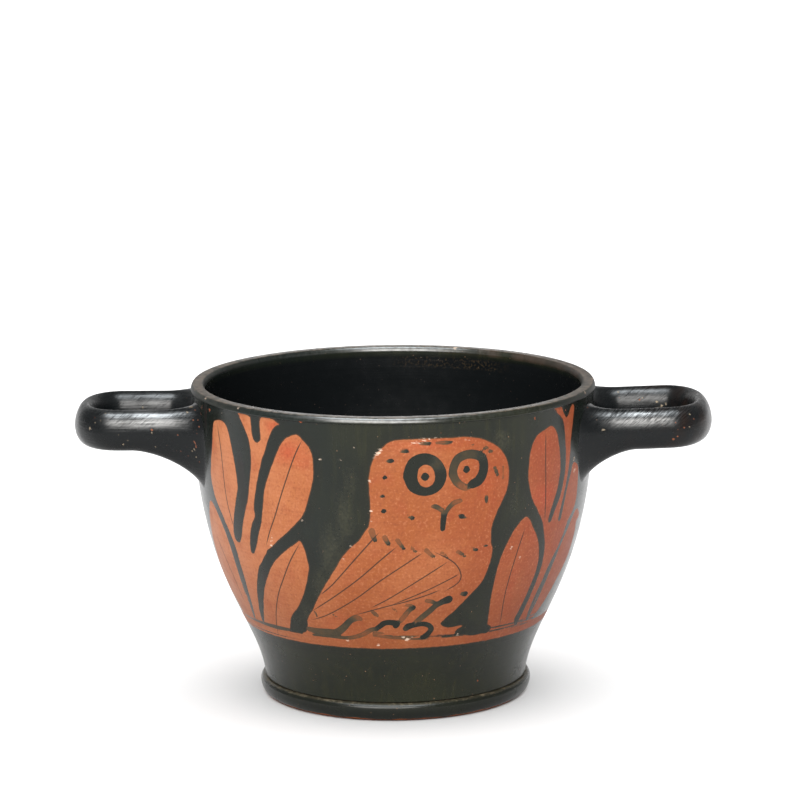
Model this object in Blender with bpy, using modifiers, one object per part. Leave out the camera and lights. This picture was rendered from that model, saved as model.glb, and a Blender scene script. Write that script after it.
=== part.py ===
"""Two-handled drinking cup, a small skyphos, in metres with +Z up.

A thrown bowl stands on a ring foot, and two rolled loop handles are luted on just under its lip.
The origin is on the cup's axis at the surface that it stands on, and the handles lie along X.
"""

import math

import bmesh
import bpy
import numpy as np

# Bowl. Its lip is a low oval bead: half its width, half its height and where its undercut starts.
HEIGHT = 0.0820
LIP_RADIUS = 0.0524
LIP_ROLL = 0.0018
LIP_RISE = 0.0009
LIP_UNDERCUT = math.radians(-40)
WALL = 0.0034
FLOOR = 0.0042
FLOOR_FILLET = 0.0100
BASE_RADIUS = 0.0341

# Swell of the wall: pulls of its cubic curve at foot and lip, as shares of its growth and its height
SWELL_AT_FOOT = (0.11, 0.22)
SWELL_AT_LIP = (0.05, 0.65)

# Foot ring
FOOT_HEIGHT = 0.0046
FOOT_RADIUS = 0.0353
FOOT_SHOULDER = 0.0015
FOOT_TUCK = 0.0021
TREAD_WIDTH = 0.0046
FOOT_INNER_SLOPE = 0.0010

# Gap that stands for the film of slip between two pieces
JOINT = 0.0003

# Both handles
HANDLE_REACH = 0.0826
HANDLE_THICKNESS = 0.0060
BOW_LENGTH = 0.0094
BOW_SQUARENESS = 2.2
ROOT_DEPTH = 0.0060

# A handle's section is widest at a line a little low on it: the share of its height below that line, and
# how square its oval is above and below it
SECTION_BELLY = 0.44
CREST_SQUARENESS = 1.8
UNDERSIDE_SQUARENESS = 2.0

# Each handle: half the space between its arms, its section's height, the drop from the cup's top to its
# crest, its rise towards the bow, and how its roots flare down, up, into the loop and out of it. A flare
# is the extent along the wall and the length along the arm.
HANDLES = {
    "handle_left": {
        "side": -1,
        "half_spread": 0.0133,
        "section_height": 0.0106,
        "crest_drop": 0.0049,
        "rise": 0.0001,
        "flare_down": (0.0100, 0.0170),
        "flare_up": (0.0016, 0.0090),
        "flare_in": (0.0095, 0.0085),
        "flare_out": (0.0034, 0.0080),
    },
    "handle_right": {
        "side": 1,
        "half_spread": 0.0154,
        "section_height": 0.0106,
        "crest_drop": 0.0056,
        "rise": 0.0009,
        "flare_down": (0.0082, 0.0128),
        "flare_up": (0.0016, 0.0090),
        "flare_in": (0.0105, 0.0090),
        "flare_out": (0.0034, 0.0080),
    },
}
FLARES = ("flare_out", "flare_in", "flare_up", "flare_down")
FLARE_SQUARENESS = 1.6

# Fineness of the surfaces
TURN_STEPS = 72
WALL_POINTS = 15
LIP_POINTS = 8
FLOOR_POINTS = 4
FOOT_ARC_POINTS = 4
ROOT_SECTIONS = 12
ROOT_CROWDING = 1.4
ARM_SECTIONS = 1
BOW_SECTIONS = 15
SECTION_POINTS = 16
FLARE_PASSES = 4
MERGE_DISTANCE = 0.00001
SHARP_ANGLE = math.radians(40)

# Finishes: colour, roughness and metallic value
BLACK_GLOSS = ((0.030, 0.032, 0.029, 1.0), 0.30, 0.0)
BROWN_BLACK_GLOSS = ((0.032, 0.028, 0.025, 1.0), 0.30, 0.0)

BASE_LEVEL = FOOT_HEIGHT + JOINT
FLOOR_LEVEL = BASE_LEVEL + FLOOR
LIP_CENTRE = np.array([LIP_RADIUS - LIP_ROLL, HEIGHT - LIP_RISE])


def clear_scene():
    """Removes whatever the scene holds."""
    for obj in list(bpy.data.objects):
        bpy.data.objects.remove(obj, do_unlink=True)


def new_collection(name):
    """A collection of the scene."""
    collection = bpy.data.collections.new(name)
    bpy.context.scene.collection.children.link(collection)
    return collection


def new_material(name, finish):
    """A Principled material of one colour, roughness and metallic value."""
    colour, roughness, metallic = finish
    material = bpy.data.materials.new(name)
    material.use_nodes = True
    shader = material.node_tree.nodes["Principled BSDF"]
    shader.inputs["Base Color"].default_value = colour
    shader.inputs["Roughness"].default_value = roughness
    shader.inputs["Metallic"].default_value = metallic
    material.diffuse_color = colour
    return material


def cubic(start, pull_start, pull_end, end, count):
    """Points along a cubic curve between two points, with its two control points."""
    t = np.linspace(0, 1, count)[:, None]
    weights = ((1 - t) ** 3, 3 * t * (1 - t) ** 2, 3 * t**2 * (1 - t), t**3)
    return sum(w * np.array(p) for w, p in zip(weights, (start, pull_start, pull_end, end)))


def arc(centre, radii, first, last, count):
    """Points on an arc of an ellipse, between two angles."""
    angle = np.linspace(first, last, count)
    return np.array(centre) + np.stack([radii[0] * np.cos(angle), radii[1] * np.sin(angle)], 1)


def lip_arc():
    """The rolled lip, from its undercut outside, over the top, to its inner side."""
    return arc(LIP_CENTRE, (LIP_ROLL, LIP_RISE), LIP_UNDERCUT, math.pi, LIP_POINTS)


def outer_wall():
    """The wall's outside as radius and height, from the base up to the lip."""
    base = np.array([BASE_RADIUS, BASE_LEVEL])
    top = lip_arc()[0]
    growth, rise = top - base
    pull_foot = base + (SWELL_AT_FOOT[0] * growth, SWELL_AT_FOOT[1] * rise)
    pull_lip = top + (SWELL_AT_LIP[0] * growth, -SWELL_AT_LIP[1] * rise)
    return cubic(base, pull_foot, pull_lip, top, WALL_POINTS)


def inner_wall():
    """The inside, from the lip down the wall, round the floor's fillet to the axis."""
    outside = outer_wall()
    along = np.gradient(outside, axis=0)
    along /= np.linalg.norm(along, axis=1)[:, None]
    inside = outside + WALL * np.stack([-along[:, 1], along[:, 0]], 1)
    fillet_level = FLOOR_LEVEL + FLOOR_FILLET
    fillet_radius = np.interp(fillet_level, inside[:, 1], inside[:, 0])
    corner_radius = np.interp(FLOOR_LEVEL, inside[:, 1], inside[:, 0])
    above_fillet = inside[:, 1] > fillet_level + MERGE_DISTANCE
    below_lip = inside[:, 1] < LIP_CENTRE[1] - LIP_RISE
    straight = inside[above_fillet & below_lip]
    t = np.linspace(0, 1, FLOOR_POINTS)[:, None]
    start = np.array([fillet_radius, fillet_level])
    corner = np.array([corner_radius, FLOOR_LEVEL])
    end = np.array([corner_radius - FLOOR_FILLET, FLOOR_LEVEL])
    fillet = (1 - t) ** 2 * start + 2 * t * (1 - t) * corner + t**2 * end
    return np.vstack([straight[::-1], fillet, [(0.0, FLOOR_LEVEL)]])


def bowl_profile():
    """Half section of the bowl: from the floor's centre up inside, over the lip and down outside."""
    outside = outer_wall()
    return np.vstack([inner_wall()[::-1], lip_arc()[::-1], outside[-2::-1], [(0.0, BASE_LEVEL)]])


def foot_profile():
    """Closed half section of the ring foot, down its round outside and back up its inner slope."""
    shoulder_level = FOOT_HEIGHT - FOOT_SHOULDER
    shoulder_width = FOOT_RADIUS - BASE_RADIUS
    shoulder = arc(
        (BASE_RADIUS, shoulder_level),
        (shoulder_width, FOOT_SHOULDER),
        math.pi / 2,
        0,
        FOOT_ARC_POINTS,
    )
    tuck = arc(
        (FOOT_RADIUS - FOOT_TUCK, shoulder_level),
        (FOOT_TUCK, shoulder_level),
        0,
        -math.pi / 2,
        FOOT_ARC_POINTS,
    )
    tread_inner = FOOT_RADIUS - FOOT_TUCK - TREAD_WIDTH
    inner = [(tread_inner, 0.0), (tread_inner - FOOT_INNER_SLOPE, FOOT_HEIGHT)]
    return np.vstack([shoulder, tuck[1:], inner])


def turned(name, profile, closed, collection):
    """A solid of revolution: the profile as a line of edges, turned about Z by a Screw modifier."""
    count = len(profile)
    edges = [(i, i + 1) for i in range(count - 1)]
    if closed:
        edges.append((count - 1, 0))
    mesh = bpy.data.meshes.new(name)
    mesh.from_pydata([(r, 0.0, z) for r, z in profile], edges, [])
    obj = bpy.data.objects.new(name, mesh)
    collection.objects.link(obj)
    screw = obj.modifiers.new("Turned", "SCREW")
    screw.axis = "Z"
    screw.angle = math.tau
    screw.steps = TURN_STEPS
    screw.render_steps = TURN_STEPS
    screw.use_merge_vertices = True
    screw.merge_threshold = MERGE_DISTANCE
    screw.use_smooth_shade = True
    return obj


def wall_cutter(collection):
    """The bowl's outer form, a joint's gap larger, that the handles' ends are cut to."""
    outside = np.vstack([lip_arc()[LIP_POINTS // 2 :: -1], outer_wall()[-2::-1]])
    outside[:, 0] += JOINT
    top = outside[0, 1]
    bottom = outside[-1, 1]
    profile = np.vstack([[(0.0, top)], outside, [(0.0, bottom)]])
    cutter = turned("wall_cutter", profile, False, collection)
    cutter.hide_render = True
    cutter.display_type = "WIRE"
    return cutter


def wall_reach(y, level):
    """Distance from the cup's middle plane to its outside, along X, at a place y and a level."""
    outside = outer_wall()
    radius = np.interp(level, outside[:, 1], outside[:, 0])
    return np.sqrt(np.maximum(radius**2 - y**2, 0))


def handle_route(values, level):
    """The loop's centre line in plan, with each section's direction, from one root to the other."""
    half = values["half_spread"]
    tip = HANDLE_REACH - HANDLE_THICKNESS / 2
    bow_start = tip - BOW_LENGTH
    root = wall_reach(half, level)
    flare_end = root + max(values[name][1] for name in FLARES)
    root_length = flare_end - root + ROOT_DEPTH
    arm = np.concatenate(
        [
            root - ROOT_DEPTH + root_length * np.linspace(0, 1, ROOT_SECTIONS) ** ROOT_CROWDING,
            np.linspace(flare_end, bow_start, ARM_SECTIONS + 2)[1:-1],
        ]
    )
    angle = np.linspace(math.pi / 2, -math.pi / 2, BOW_SECTIONS)
    power = 2 / BOW_SQUARENESS
    bow_x = bow_start + BOW_LENGTH * np.cos(angle) ** power
    bow_y = half * np.sign(np.sin(angle)) * np.abs(np.sin(angle)) ** power
    x = np.concatenate([arm, bow_x, arm[::-1]])
    y = np.concatenate([np.full(len(arm), half), bow_y, np.full(len(arm), -half)])
    route = np.stack([x, y], 1)
    along = np.gradient(route, axis=0)
    along /= np.linalg.norm(along, axis=1)[:, None]
    return route, np.stack([-along[:, 1], along[:, 0]], 1)


def flare(extent_and_length, gap):
    """Extra half width of a root: nothing at its length, then a quarter oval that meets the wall along it."""
    extent, length = extent_and_length
    share = np.clip(1 - gap / length, 0, 1)
    return extent * (1 - (1 - share**FLARE_SQUARENESS) ** (1 / FLARE_SQUARENESS))


def handle_sections(values):
    """Rings of points of a loop handle: four quarter ovals whose half widths flare to the wall."""
    half_thickness = HANDLE_THICKNESS / 2
    below = SECTION_BELLY * values["section_height"]
    above = values["section_height"] - below
    level = HEIGHT - values["crest_drop"] - above
    route, outward = handle_route(values, level)
    root = wall_reach(values["half_spread"], level)
    tip = HANDLE_REACH - half_thickness
    climb = values["rise"] * np.clip((route[:, :1] - root) / (tip - root), 0, 1)
    angle = np.arange(SECTION_POINTS) * math.tau / SECTION_POINTS
    power = 2 / np.where(np.sin(angle) > 0, CREST_SQUARENESS, UNDERSIDE_SQUARENESS)
    across = np.sign(np.cos(angle)) * np.abs(np.cos(angle)) ** power
    upward = np.sign(np.sin(angle)) * np.abs(np.sin(angle)) ** power
    half_height = np.where(upward > 0, above, below)
    wide = across * half_thickness
    tall = upward * half_height
    for _ in range(FLARE_PASSES):
        y = route[:, 1:] + outward[:, 1:] * wide
        gap = route[:, :1] - wall_reach(y, level + tall)
        flare_out, flare_in, flare_up, flare_down = (flare(values[name], gap) for name in FLARES)
        wide = across * (half_thickness + np.where(across > 0, flare_out, flare_in))
        tall = upward * (half_height + np.where(upward > 0, flare_up, flare_down))
    x = route[:, :1] + outward[:, :1] * wide
    y = route[:, 1:] + outward[:, 1:] * wide
    z = level + climb + tall
    return np.stack([values["side"] * x, y, z], -1)


def loop_handle(name, values, cutter, collection):
    """A loop handle: its rings lofted into one closed body, with its ends cut to the bowl's wall."""
    rings = handle_sections(values)
    body = bmesh.new()
    loft = [[body.verts.new(point) for point in ring] for ring in rings]
    for ring, following in zip(loft, loft[1:]):
        for i in range(SECTION_POINTS):
            j = (i + 1) % SECTION_POINTS
            body.faces.new((ring[i], ring[j], following[j], following[i]))
    body.faces.new(loft[0])
    body.faces.new(loft[-1])
    bmesh.ops.recalc_face_normals(body, faces=body.faces)
    mesh = bpy.data.meshes.new(name)
    body.to_mesh(mesh)
    body.free()
    mesh.shade_smooth()
    mesh.set_sharp_from_angle(angle=SHARP_ANGLE)
    obj = bpy.data.objects.new(name, mesh)
    collection.objects.link(obj)
    cut = obj.modifiers.new("Cut to the wall", "BOOLEAN")
    cut.operation = "DIFFERENCE"
    cut.solver = "EXACT"
    cut.object = cutter
    return obj


def main():
    clear_scene()
    cup = new_collection("skyphos")
    cutters = new_collection("cutters")
    bowl = turned("bowl", bowl_profile(), False, cup)
    bowl.data.materials.append(new_material("bowl_gloss", BLACK_GLOSS))
    foot = turned("foot", foot_profile(), True, cup)
    foot.data.materials.append(new_material("foot_gloss", BLACK_GLOSS))
    cutter = wall_cutter(cutters)
    for name, values in HANDLES.items():
        handle = loop_handle(name, values, cutter, cup)
        handle.data.materials.append(new_material(name + "_gloss", BROWN_BLACK_GLOSS))


main()
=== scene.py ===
"""Looks of a small two-handled drinking cup with a painted owl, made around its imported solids.

The bowl, the foot ring and the two loop handles are fine surfaces. The picture on the wall is worked out
on the bowl's own points, as distances to outlines and brush strokes, and the finish turns those distances
into bare clay, thinned slip and black gloss.
"""

import math

import bpy
import numpy as np
from bpy.props import FloatProperty, FloatVectorProperty, PointerProperty
from mathutils import Matrix, Vector


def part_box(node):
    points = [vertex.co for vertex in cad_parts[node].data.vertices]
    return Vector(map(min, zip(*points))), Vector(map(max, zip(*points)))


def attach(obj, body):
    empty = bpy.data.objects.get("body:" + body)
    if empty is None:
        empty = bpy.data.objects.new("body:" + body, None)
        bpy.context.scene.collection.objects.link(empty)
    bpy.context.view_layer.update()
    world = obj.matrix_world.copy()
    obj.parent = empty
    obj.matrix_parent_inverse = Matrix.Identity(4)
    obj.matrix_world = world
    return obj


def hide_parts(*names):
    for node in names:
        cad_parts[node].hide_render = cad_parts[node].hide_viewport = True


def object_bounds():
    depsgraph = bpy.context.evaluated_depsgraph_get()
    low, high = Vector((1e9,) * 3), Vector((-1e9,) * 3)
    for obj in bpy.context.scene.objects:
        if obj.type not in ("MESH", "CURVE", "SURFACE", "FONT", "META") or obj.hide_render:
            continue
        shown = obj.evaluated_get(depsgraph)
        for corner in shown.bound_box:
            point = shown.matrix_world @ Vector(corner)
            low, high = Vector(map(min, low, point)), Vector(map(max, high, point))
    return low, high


bl_info = {
    "name": "Painted owl cup",
    "version": (1, 0, 0),
    "blender": (4, 5, 0),
    "location": "3D View > Sidebar > Owl cup",
    "description": "Makes a painted two-handled cup and the stage that it is shown on",
    "category": "Object",
}

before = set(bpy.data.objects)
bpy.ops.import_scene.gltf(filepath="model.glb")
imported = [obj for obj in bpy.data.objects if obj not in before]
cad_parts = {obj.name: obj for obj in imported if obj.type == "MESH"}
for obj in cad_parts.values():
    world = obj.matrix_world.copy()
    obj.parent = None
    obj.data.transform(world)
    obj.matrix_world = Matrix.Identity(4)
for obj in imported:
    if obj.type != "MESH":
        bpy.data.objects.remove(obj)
CAD_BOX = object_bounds()

MM = 0.001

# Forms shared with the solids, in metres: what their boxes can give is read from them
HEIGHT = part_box("bowl")[1].z
BASE_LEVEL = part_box("bowl")[0].z
LIP_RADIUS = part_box("bowl")[1].x
LIP_ROLL = 0.0018
LIP_UNDERCUT = math.radians(-40)
WALL = 0.0034
FLOOR = 0.0042
FLOOR_FILLET = 0.0100
BASE_RADIUS = 0.0341
SWELL_AT_FOOT = (0.11, 0.22)
SWELL_AT_LIP = (0.05, 0.65)
FOOT_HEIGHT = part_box("foot")[1].z
FOOT_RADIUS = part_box("foot")[1].x
FOOT_SHOULDER = 0.0015
FOOT_TUCK = 0.0021
TREAD_WIDTH = 0.0046
FOOT_INNER_SLOPE = 0.0010
FLOOR_LEVEL = BASE_LEVEL + FLOOR

# The lip, finer than on the solids: its faces' height, the depth of the oval under them, and their width
LIP_RISE = 0.0014
LIP_DROP = 0.0005
LIP_FACE = 0.0007
LIP_FACE_SQUARENESS = 1.5
LIP_CENTRE = np.array([LIP_RADIUS - LIP_ROLL, HEIGHT - LIP_RISE])

# Loop handles: a flare is the extent along the wall and the length along the arm. A section is widest at
# a line a little low on it, with a slimmer oval above that line than below it.
HANDLE_REACH = CAD_BOX[1].x
HANDLE_THICKNESS = 0.0060
BOW_LENGTH = 0.0094
BOW_SQUARENESS = 2.2
SECTION_BELLY = 0.44
CREST_SQUARENESS = 1.8
UNDERSIDE_SQUARENESS = 2.0
HANDLES = {
    "left": {
        "side": -1,
        "half_spread": 0.0133,
        "section_height": 0.0106,
        "crest_drop": 0.0049,
        "rise": 0.0001,
        "flare_down": (0.0100, 0.0170),
        "flare_up": (0.0016, 0.0090),
        "flare_in": (0.0095, 0.0085),
        "flare_out": (0.0034, 0.0080),
    },
    "right": {
        "side": 1,
        "half_spread": 0.0154,
        "section_height": 0.0106,
        "crest_drop": 0.0056,
        "rise": 0.0009,
        "flare_down": (0.0082, 0.0128),
        "flare_up": (0.0016, 0.0090),
        "flare_in": (0.0105, 0.0090),
        "flare_out": (0.0034, 0.0080),
    },
}
FLARES = ("flare_out", "flare_in", "flare_up", "flare_down")
FLARE_SQUARENESS = 1.6
ROOT_INSET = 0.0010
FLARE_PASSES = 6

# How surfaces reflect, the brighter polish that lies over some of them, and how deep their relief is
SURFACE_IOR = 1.34
HANDLE_IOR = 1.28
POLISH_IOR = 2.10
POLISH_ROUGHNESS = 0.28
RELIEF_DEPTH = 0.00009
HANDLE_RELIEF_DEPTH = 0.00014

# Under the floor the clay is bare out to a radius, but for a black ring and a dot
UNDERSIDE_CLAY = 0.0300
UNDERSIDE_RING = 0.0150
UNDERSIDE_RING_HALF_WIDTH = 0.0007
UNDERSIDE_DOT = 0.0016

# Soft lights above and behind the camera, in two rows that light the cup alone: each light's breadth, and
# each row's height over the floor, its bearings from the front and its colour. One wide light hangs over
# the floor, so that the cup's shadow stays close to its foot.
LIGHT_BREADTH = math.radians(22)
LIGHT_ROWS = {
    "low_light": (25, (-27, -9, 9), (1.0, 0.98, 0.95)),
    "high_light": (58, (-43, -9, 25), (0.90, 0.96, 1.0)),
}
OVERHEAD_BREADTH = math.radians(110)
CUP_PIECES = "cup_pieces"

# The point that the camera looks at, in metres
CAMERA_TARGET = (0.00179, 0.0, 0.07659)

# Fineness of the surfaces
TURN_STEPS = 576
UNDERSIDE_ROWS = 4
WALL_ROWS = 124
LIP_ROWS = 5
FILLET_ROWS = 8
INSIDE_STEP = 6
FOOT_TURN_STEPS = 384
FOOT_ARC_ROWS = 12
ARM_ROWS = 40
BOW_ROWS = 80
SECTION_STEPS = 96
SHARP_ANGLE = math.radians(50)

# Shares of the bake map's height up to which the bowl's wall and then its inside go, and a strip's margins
WALL_SHARE = 0.80
INSIDE_SHARE = 0.92
STRIP_END_MARGIN = 0.005
STRIP_SIDE_MARGIN = 0.01

# The picture is placed in degrees from the front, to the right, and millimetres of height. It is drawn on
# a plane where it keeps its proportions, at the scale that it has where the wall is this far from the axis.
PLANE_RADIUS = 50.0
CURVE_STEPS = 5
REACH = 3.0

# The bare band's two edges, with how far and how often round the wall each waves
BAND_FOOT = 20.4
BAND_FOOT_WAVE = (0.1, 2)
BAND_TOP = 22.9
BAND_TOP_WAVE = (0.15, 3)

# The back's picture is drawn in by a factor, and sways by a distance in waves over its height and width
BACK_SQUEEZE = 1.02
BACK_LEAN = 0.7
LEAN_WAVES = (9, 11)

# Outlines of what the black leaves bare
OWL = [
    (-3, 74.5), (-1, 76), (1.5, 76.5), (8, 76.6), (16, 76.5), (21, 76.4), (26, 75.3), (31, 72.3),
    (33.2, 69), (33.8, 65), (33, 61.2), (30.5, 56.6), (29, 52.7), (29.3, 48.4), (30, 46.7), (29.6, 42.6),
    (27.8, 38), (23.6, 34), (20, 30.8), (16.2, 28), (15.8, 26.8), (18.6, 25.8), (24, 26), (21.4, 24.4),
    (21.6, 20), (-5, 19), (-36, 19.5), (-31.7, 25.4), (-30.8, 27.5), (-27.4, 31), (-23, 36.4),
    (-18.3, 42), (-14.3, 47), (-10, 50.6), (-8.2, 53), (-7, 54.6), (-6.5, 58), (-6.7, 64.5), (-6.5, 68.2),
    (-5, 72.5),
]
LEFT_SPRIG = [
    [
        (-27.7, 76.9), (-25.6, 75.7), (-23.3, 73.3), (-22.6, 70), (-22.8, 66), (-24.8, 60), (-26.5, 56.4),
        (-31, 52.3), (-36.2, 48.6), (-41, 45.6), (-44, 47), (-41.2, 53.5), (-39.7, 58.8), (-38.4, 63),
        (-35, 69.6), (-33, 73.3), (-31, 75.6),
    ],
    [
        (-48.4, 81), (-45.4, 80.6), (-43.4, 79.9), (-41, 79.8), (-38.6, 80.5), (-36.4, 80.3),
        (-34.4, 79.9), (-33.1, 79.2), (-33.6, 78.2), (-35.3, 77.3), (-36.5, 75.6), (-38, 72),
        (-40.2, 66.7), (-42.4, 52.4), (-41, 45.4), (-46, 40.4), (-49, 36), (-51.4, 32), (-54.5, 24),
        (-60, 20), (-62, 22), (-57.5, 37.8), (-58.4, 47.6), (-52.3, 56), (-48.5, 55), (-45.6, 60.2),
        (-43.6, 67), (-43.7, 73), (-45.8, 77),
    ],
    [
        (-29, 49.6), (-27.2, 47.4), (-26.5, 44), (-26.6, 41.7), (-29, 36.4), (-33, 31.2), (-37.7, 27.5),
        (-40.8, 23.4), (-44.2, 20), (-50.7, 19.5), (-56, 21.5), (-50, 30.3), (-46.8, 34.6), (-43, 38.5),
        (-37.5, 44.3), (-33.5, 47),
    ],
    [
        (-61, 75.8), (-59.3, 76.8), (-56, 77.2), (-53.7, 76), (-52, 72.2), (-50.7, 67.3), (-50, 62),
        (-51, 56), (-56, 47), (-58, 47.4), (-60.3, 52), (-63.6, 56.4), (-64.8, 60.7), (-64.3, 63.8),
        (-62.2, 70.3),
    ],
    [
        (-68, 54.5), (-63.4, 51.4), (-59.7, 44.2), (-59.4, 34), (-61.6, 23), (-66, 19.5), (-71, 21),
        (-79.3, 32.3), (-77.5, 38.6), (-74.5, 45), (-71.5, 50.5),
    ],
]
RIGHT_SPRIG = [
    [
        (50, 76), (52.3, 74), (54, 68.8), (54.7, 64.3), (54, 59.3), (53, 55), (52.8, 52.2), (50.8, 48.2),
        (47.3, 52.4), (45.6, 55), (43, 58.3), (41.2, 62.6), (40.9, 65.6), (41.5, 71), (43.8, 74.3),
        (47, 75.4),
    ],
    [
        (51, 81), (54.6, 81), (55.6, 78.8), (57.3, 77), (59, 78.2), (60.2, 79.8), (61.9, 79.4),
        (61.2, 76.4), (60, 71.4), (59.6, 65), (58.4, 59.3), (57.5, 55.7), (56.6, 51.6), (58.4, 48.8),
        (62.5, 44.4), (58.2, 40.3), (56, 32.6), (54.7, 21), (49.8, 22.5), (51, 30.4), (52.3, 38.6),
        (51.7, 44), (49.6, 49), (52.7, 52.5), (55.5, 56), (56.8, 59.6), (57.6, 65), (57, 70.7),
        (55.7, 76.4), (53, 78.8),
    ],
    [
        (41.4, 53.7), (44.7, 50.3), (47.6, 46.6), (49.2, 43.2), (50, 38.6), (48.8, 32.2), (47.4, 27.3),
        (46.8, 24.8), (49, 20.5), (40.3, 20.5), (35.4, 22.5), (33.2, 29), (32.5, 36), (33.3, 43.3),
        (35.7, 48.6), (38.3, 52),
    ],
    [
        (62, 64.6), (63.7, 64.4), (65.8, 63), (66.8, 58.5), (67, 53.4), (64.5, 50.4), (62.8, 48.9),
        (60.5, 44.7), (56.8, 49.5), (58.7, 54.4), (59.6, 58.5), (61.2, 62.5),
    ],
    [
        (70, 51.2), (73.5, 48.8), (71.4, 47.6), (72.4, 44), (72, 38.5), (69.8, 35.2), (67.2, 32.2),
        (63.7, 27.4), (60.4, 24.4), (57.6, 22), (55.5, 22.5), (56.5, 26), (58.6, 35), (61.5, 42.6),
        (67, 50),
    ],
]

# Black brush strokes that part the leaves and stems, with half their width in millimetres
PARTING_STROKES = [
    [(-41.5, 81, 1.55), (-41.5, 79, 1.5), (-41.3, 76.4, 1.45), (-40.9, 74.9, 1.3)],
    [
        (-51.8, 78, 1.4), (-49.4, 75, 1.9), (-47.4, 69.3, 2.0), (-46.6, 65.5, 1.95), (-47.7, 60.4, 2.1),
        (-49.4, 56.5, 2.05), (-51.3, 52.8, 1.9), (-53, 49, 1.85), (-53.8, 47.2, 1.5),
    ],
    [
        (-33.4, 77.4, 1.4), (-35.8, 72.7, 1.5), (-39.3, 65.4, 1.35), (-42.3, 57, 1.2), (-42.4, 54, 1.25),
        (-44.6, 50.4, 1.45), (-46.4, 46.6, 1.3), (-47.4, 44.4, 0.8),
    ],
    [
        (-24.5, 55, 1.6), (-27.3, 52.6, 1.9), (-30.3, 50.3, 1.65), (-35.3, 46.9, 1.45),
        (-40.6, 43.2, 1.6), (-44.1, 39.4, 1.65), (-47.7, 35, 1.5), (-51.7, 28.9, 1.2),
        (-54.4, 24.8, 0.75), (-54.9, 23.4, 0.4),
    ],
    [
        (-66.6, 57.5, 0.4), (-63.8, 54, 0.85), (-61.8, 51.7, 0.85), (-59.2, 48.5, 0.9), (-57.2, 44, 0.95),
        (-57.1, 39.6, 1.0), (-57.1, 35.6, 1.0), (-57.7, 32.2, 0.9), (-58.9, 27.8, 0.8), (-61, 23.7, 0.5),
    ],
    [
        (50.8, 77.4, 1.2), (54.6, 73.5, 1.1), (55.5, 69.4, 0.95), (56.2, 65.3, 0.9), (55.8, 61.2, 0.9),
        (54, 56.4, 0.95), (52.7, 53.4, 1.0), (52, 51.4, 0.85),
    ],
    [
        (62, 77.2, 0.5), (61.3, 72.4, 0.55), (60.8, 68.6, 0.55), (60.3, 64, 0.5), (59.2, 60.1, 0.5),
        (58.2, 55.5, 0.65), (57.5, 52.4, 0.75), (57.4, 50.8, 0.75),
    ],
    [
        (42, 57.5, 1.0), (44.1, 54.4, 1.2), (46.8, 51, 1.5), (49.3, 46.6, 1.3), (50.8, 43, 1.1),
        (51.4, 39.4, 1.0), (51.1, 36, 0.95), (50.5, 32.5, 0.95), (49.6, 28.5, 1.0), (48.6, 25.3, 1.2),
    ],
    [
        (70, 53.8, 0.45), (66.7, 51.4, 0.55), (65.8, 50.2, 0.55), (63.6, 47.6, 0.65), (61.7, 44.7, 0.7),
        (60.5, 42.6, 0.7), (58.6, 40, 0.7), (57.2, 37.4, 0.7), (56.2, 34.3, 0.7), (55, 30.5, 0.7),
        (54.6, 27.2, 0.75), (55.2, 23.8, 0.85),
    ],
    [(-37.3, 25.4, 1.2), (-37.8, 24.3, 1.55), (-37.8, 24.2, 1.55)],
    [(-33.5, 28.5, 1.9), (-34.3, 24.9, 1.75), (-34.3, 24.8, 1.75)],
    [
        (20.6, 23.3, 0.35), (22.8, 23.7, 0.85), (24.8, 24.2, 1.35), (28.5, 23.9, 1.8), (32, 24.2, 2.0),
        (34.3, 23.8, 1.6),
    ],
]

# Brush marks on the clay: place, half width, and depth of tone from a thin brown wash to black
FACE = [
    [
        (4.5, 67.4, 1.7, 1), (5.7, 70.5, 1.6, 1), (8.8, 71.6, 1.4, 1), (11.8, 70.2, 1.35, 0.75),
        (13.1, 67.1, 1.45, 1), (11.9, 64.3, 1.2, 1), (8.8, 63.2, 1.1, 1), (5.7, 64.5, 1.4, 1),
        (4.5, 67.4, 1.7, 1),
    ],
    [(8.6, 67.1, 1.0, 1), (8.8, 67, 1.0, 1)],
    [
        (22.3, 64.4, 1.15, 1), (24.4, 65.3, 1.3, 1), (25.6, 67.7, 1.25, 1), (25.4, 70.2, 1.2, 0.9),
        (24.1, 71.5, 1.15, 0.78), (21.1, 72.1, 1.1, 0.66), (18, 71.2, 1.1, 0.72), (16.7, 69.1, 1.05, 0.7),
        (16.6, 67.2, 1.05, 0.64), (17.8, 65.1, 1.0, 0.5), (19.6, 63.9, 0.9, 0.36), (20.6, 63.5, 0.7, 0.3),
    ],
    [(20.4, 68.3, 0.9, 1), (20.5, 68.2, 0.9, 1)],
    [(14.2, 56.9, 0.75, 1), (14, 55.2, 0.75, 1), (13.9, 53.2, 0.65, 1)],
    [(14.2, 57.2, 0.5, 0.6), (13.3, 58.4, 0.6, 0.45), (11.8, 59.2, 0.65, 0.6), (10.8, 59.4, 0.45, 0.35)],
    [(14.5, 57.3, 0.5, 0.6), (15.5, 58.7, 0.6, 0.6), (17, 59.9, 0.65, 0.4), (18.9, 60.4, 0.6, 0.35)],
]
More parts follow.
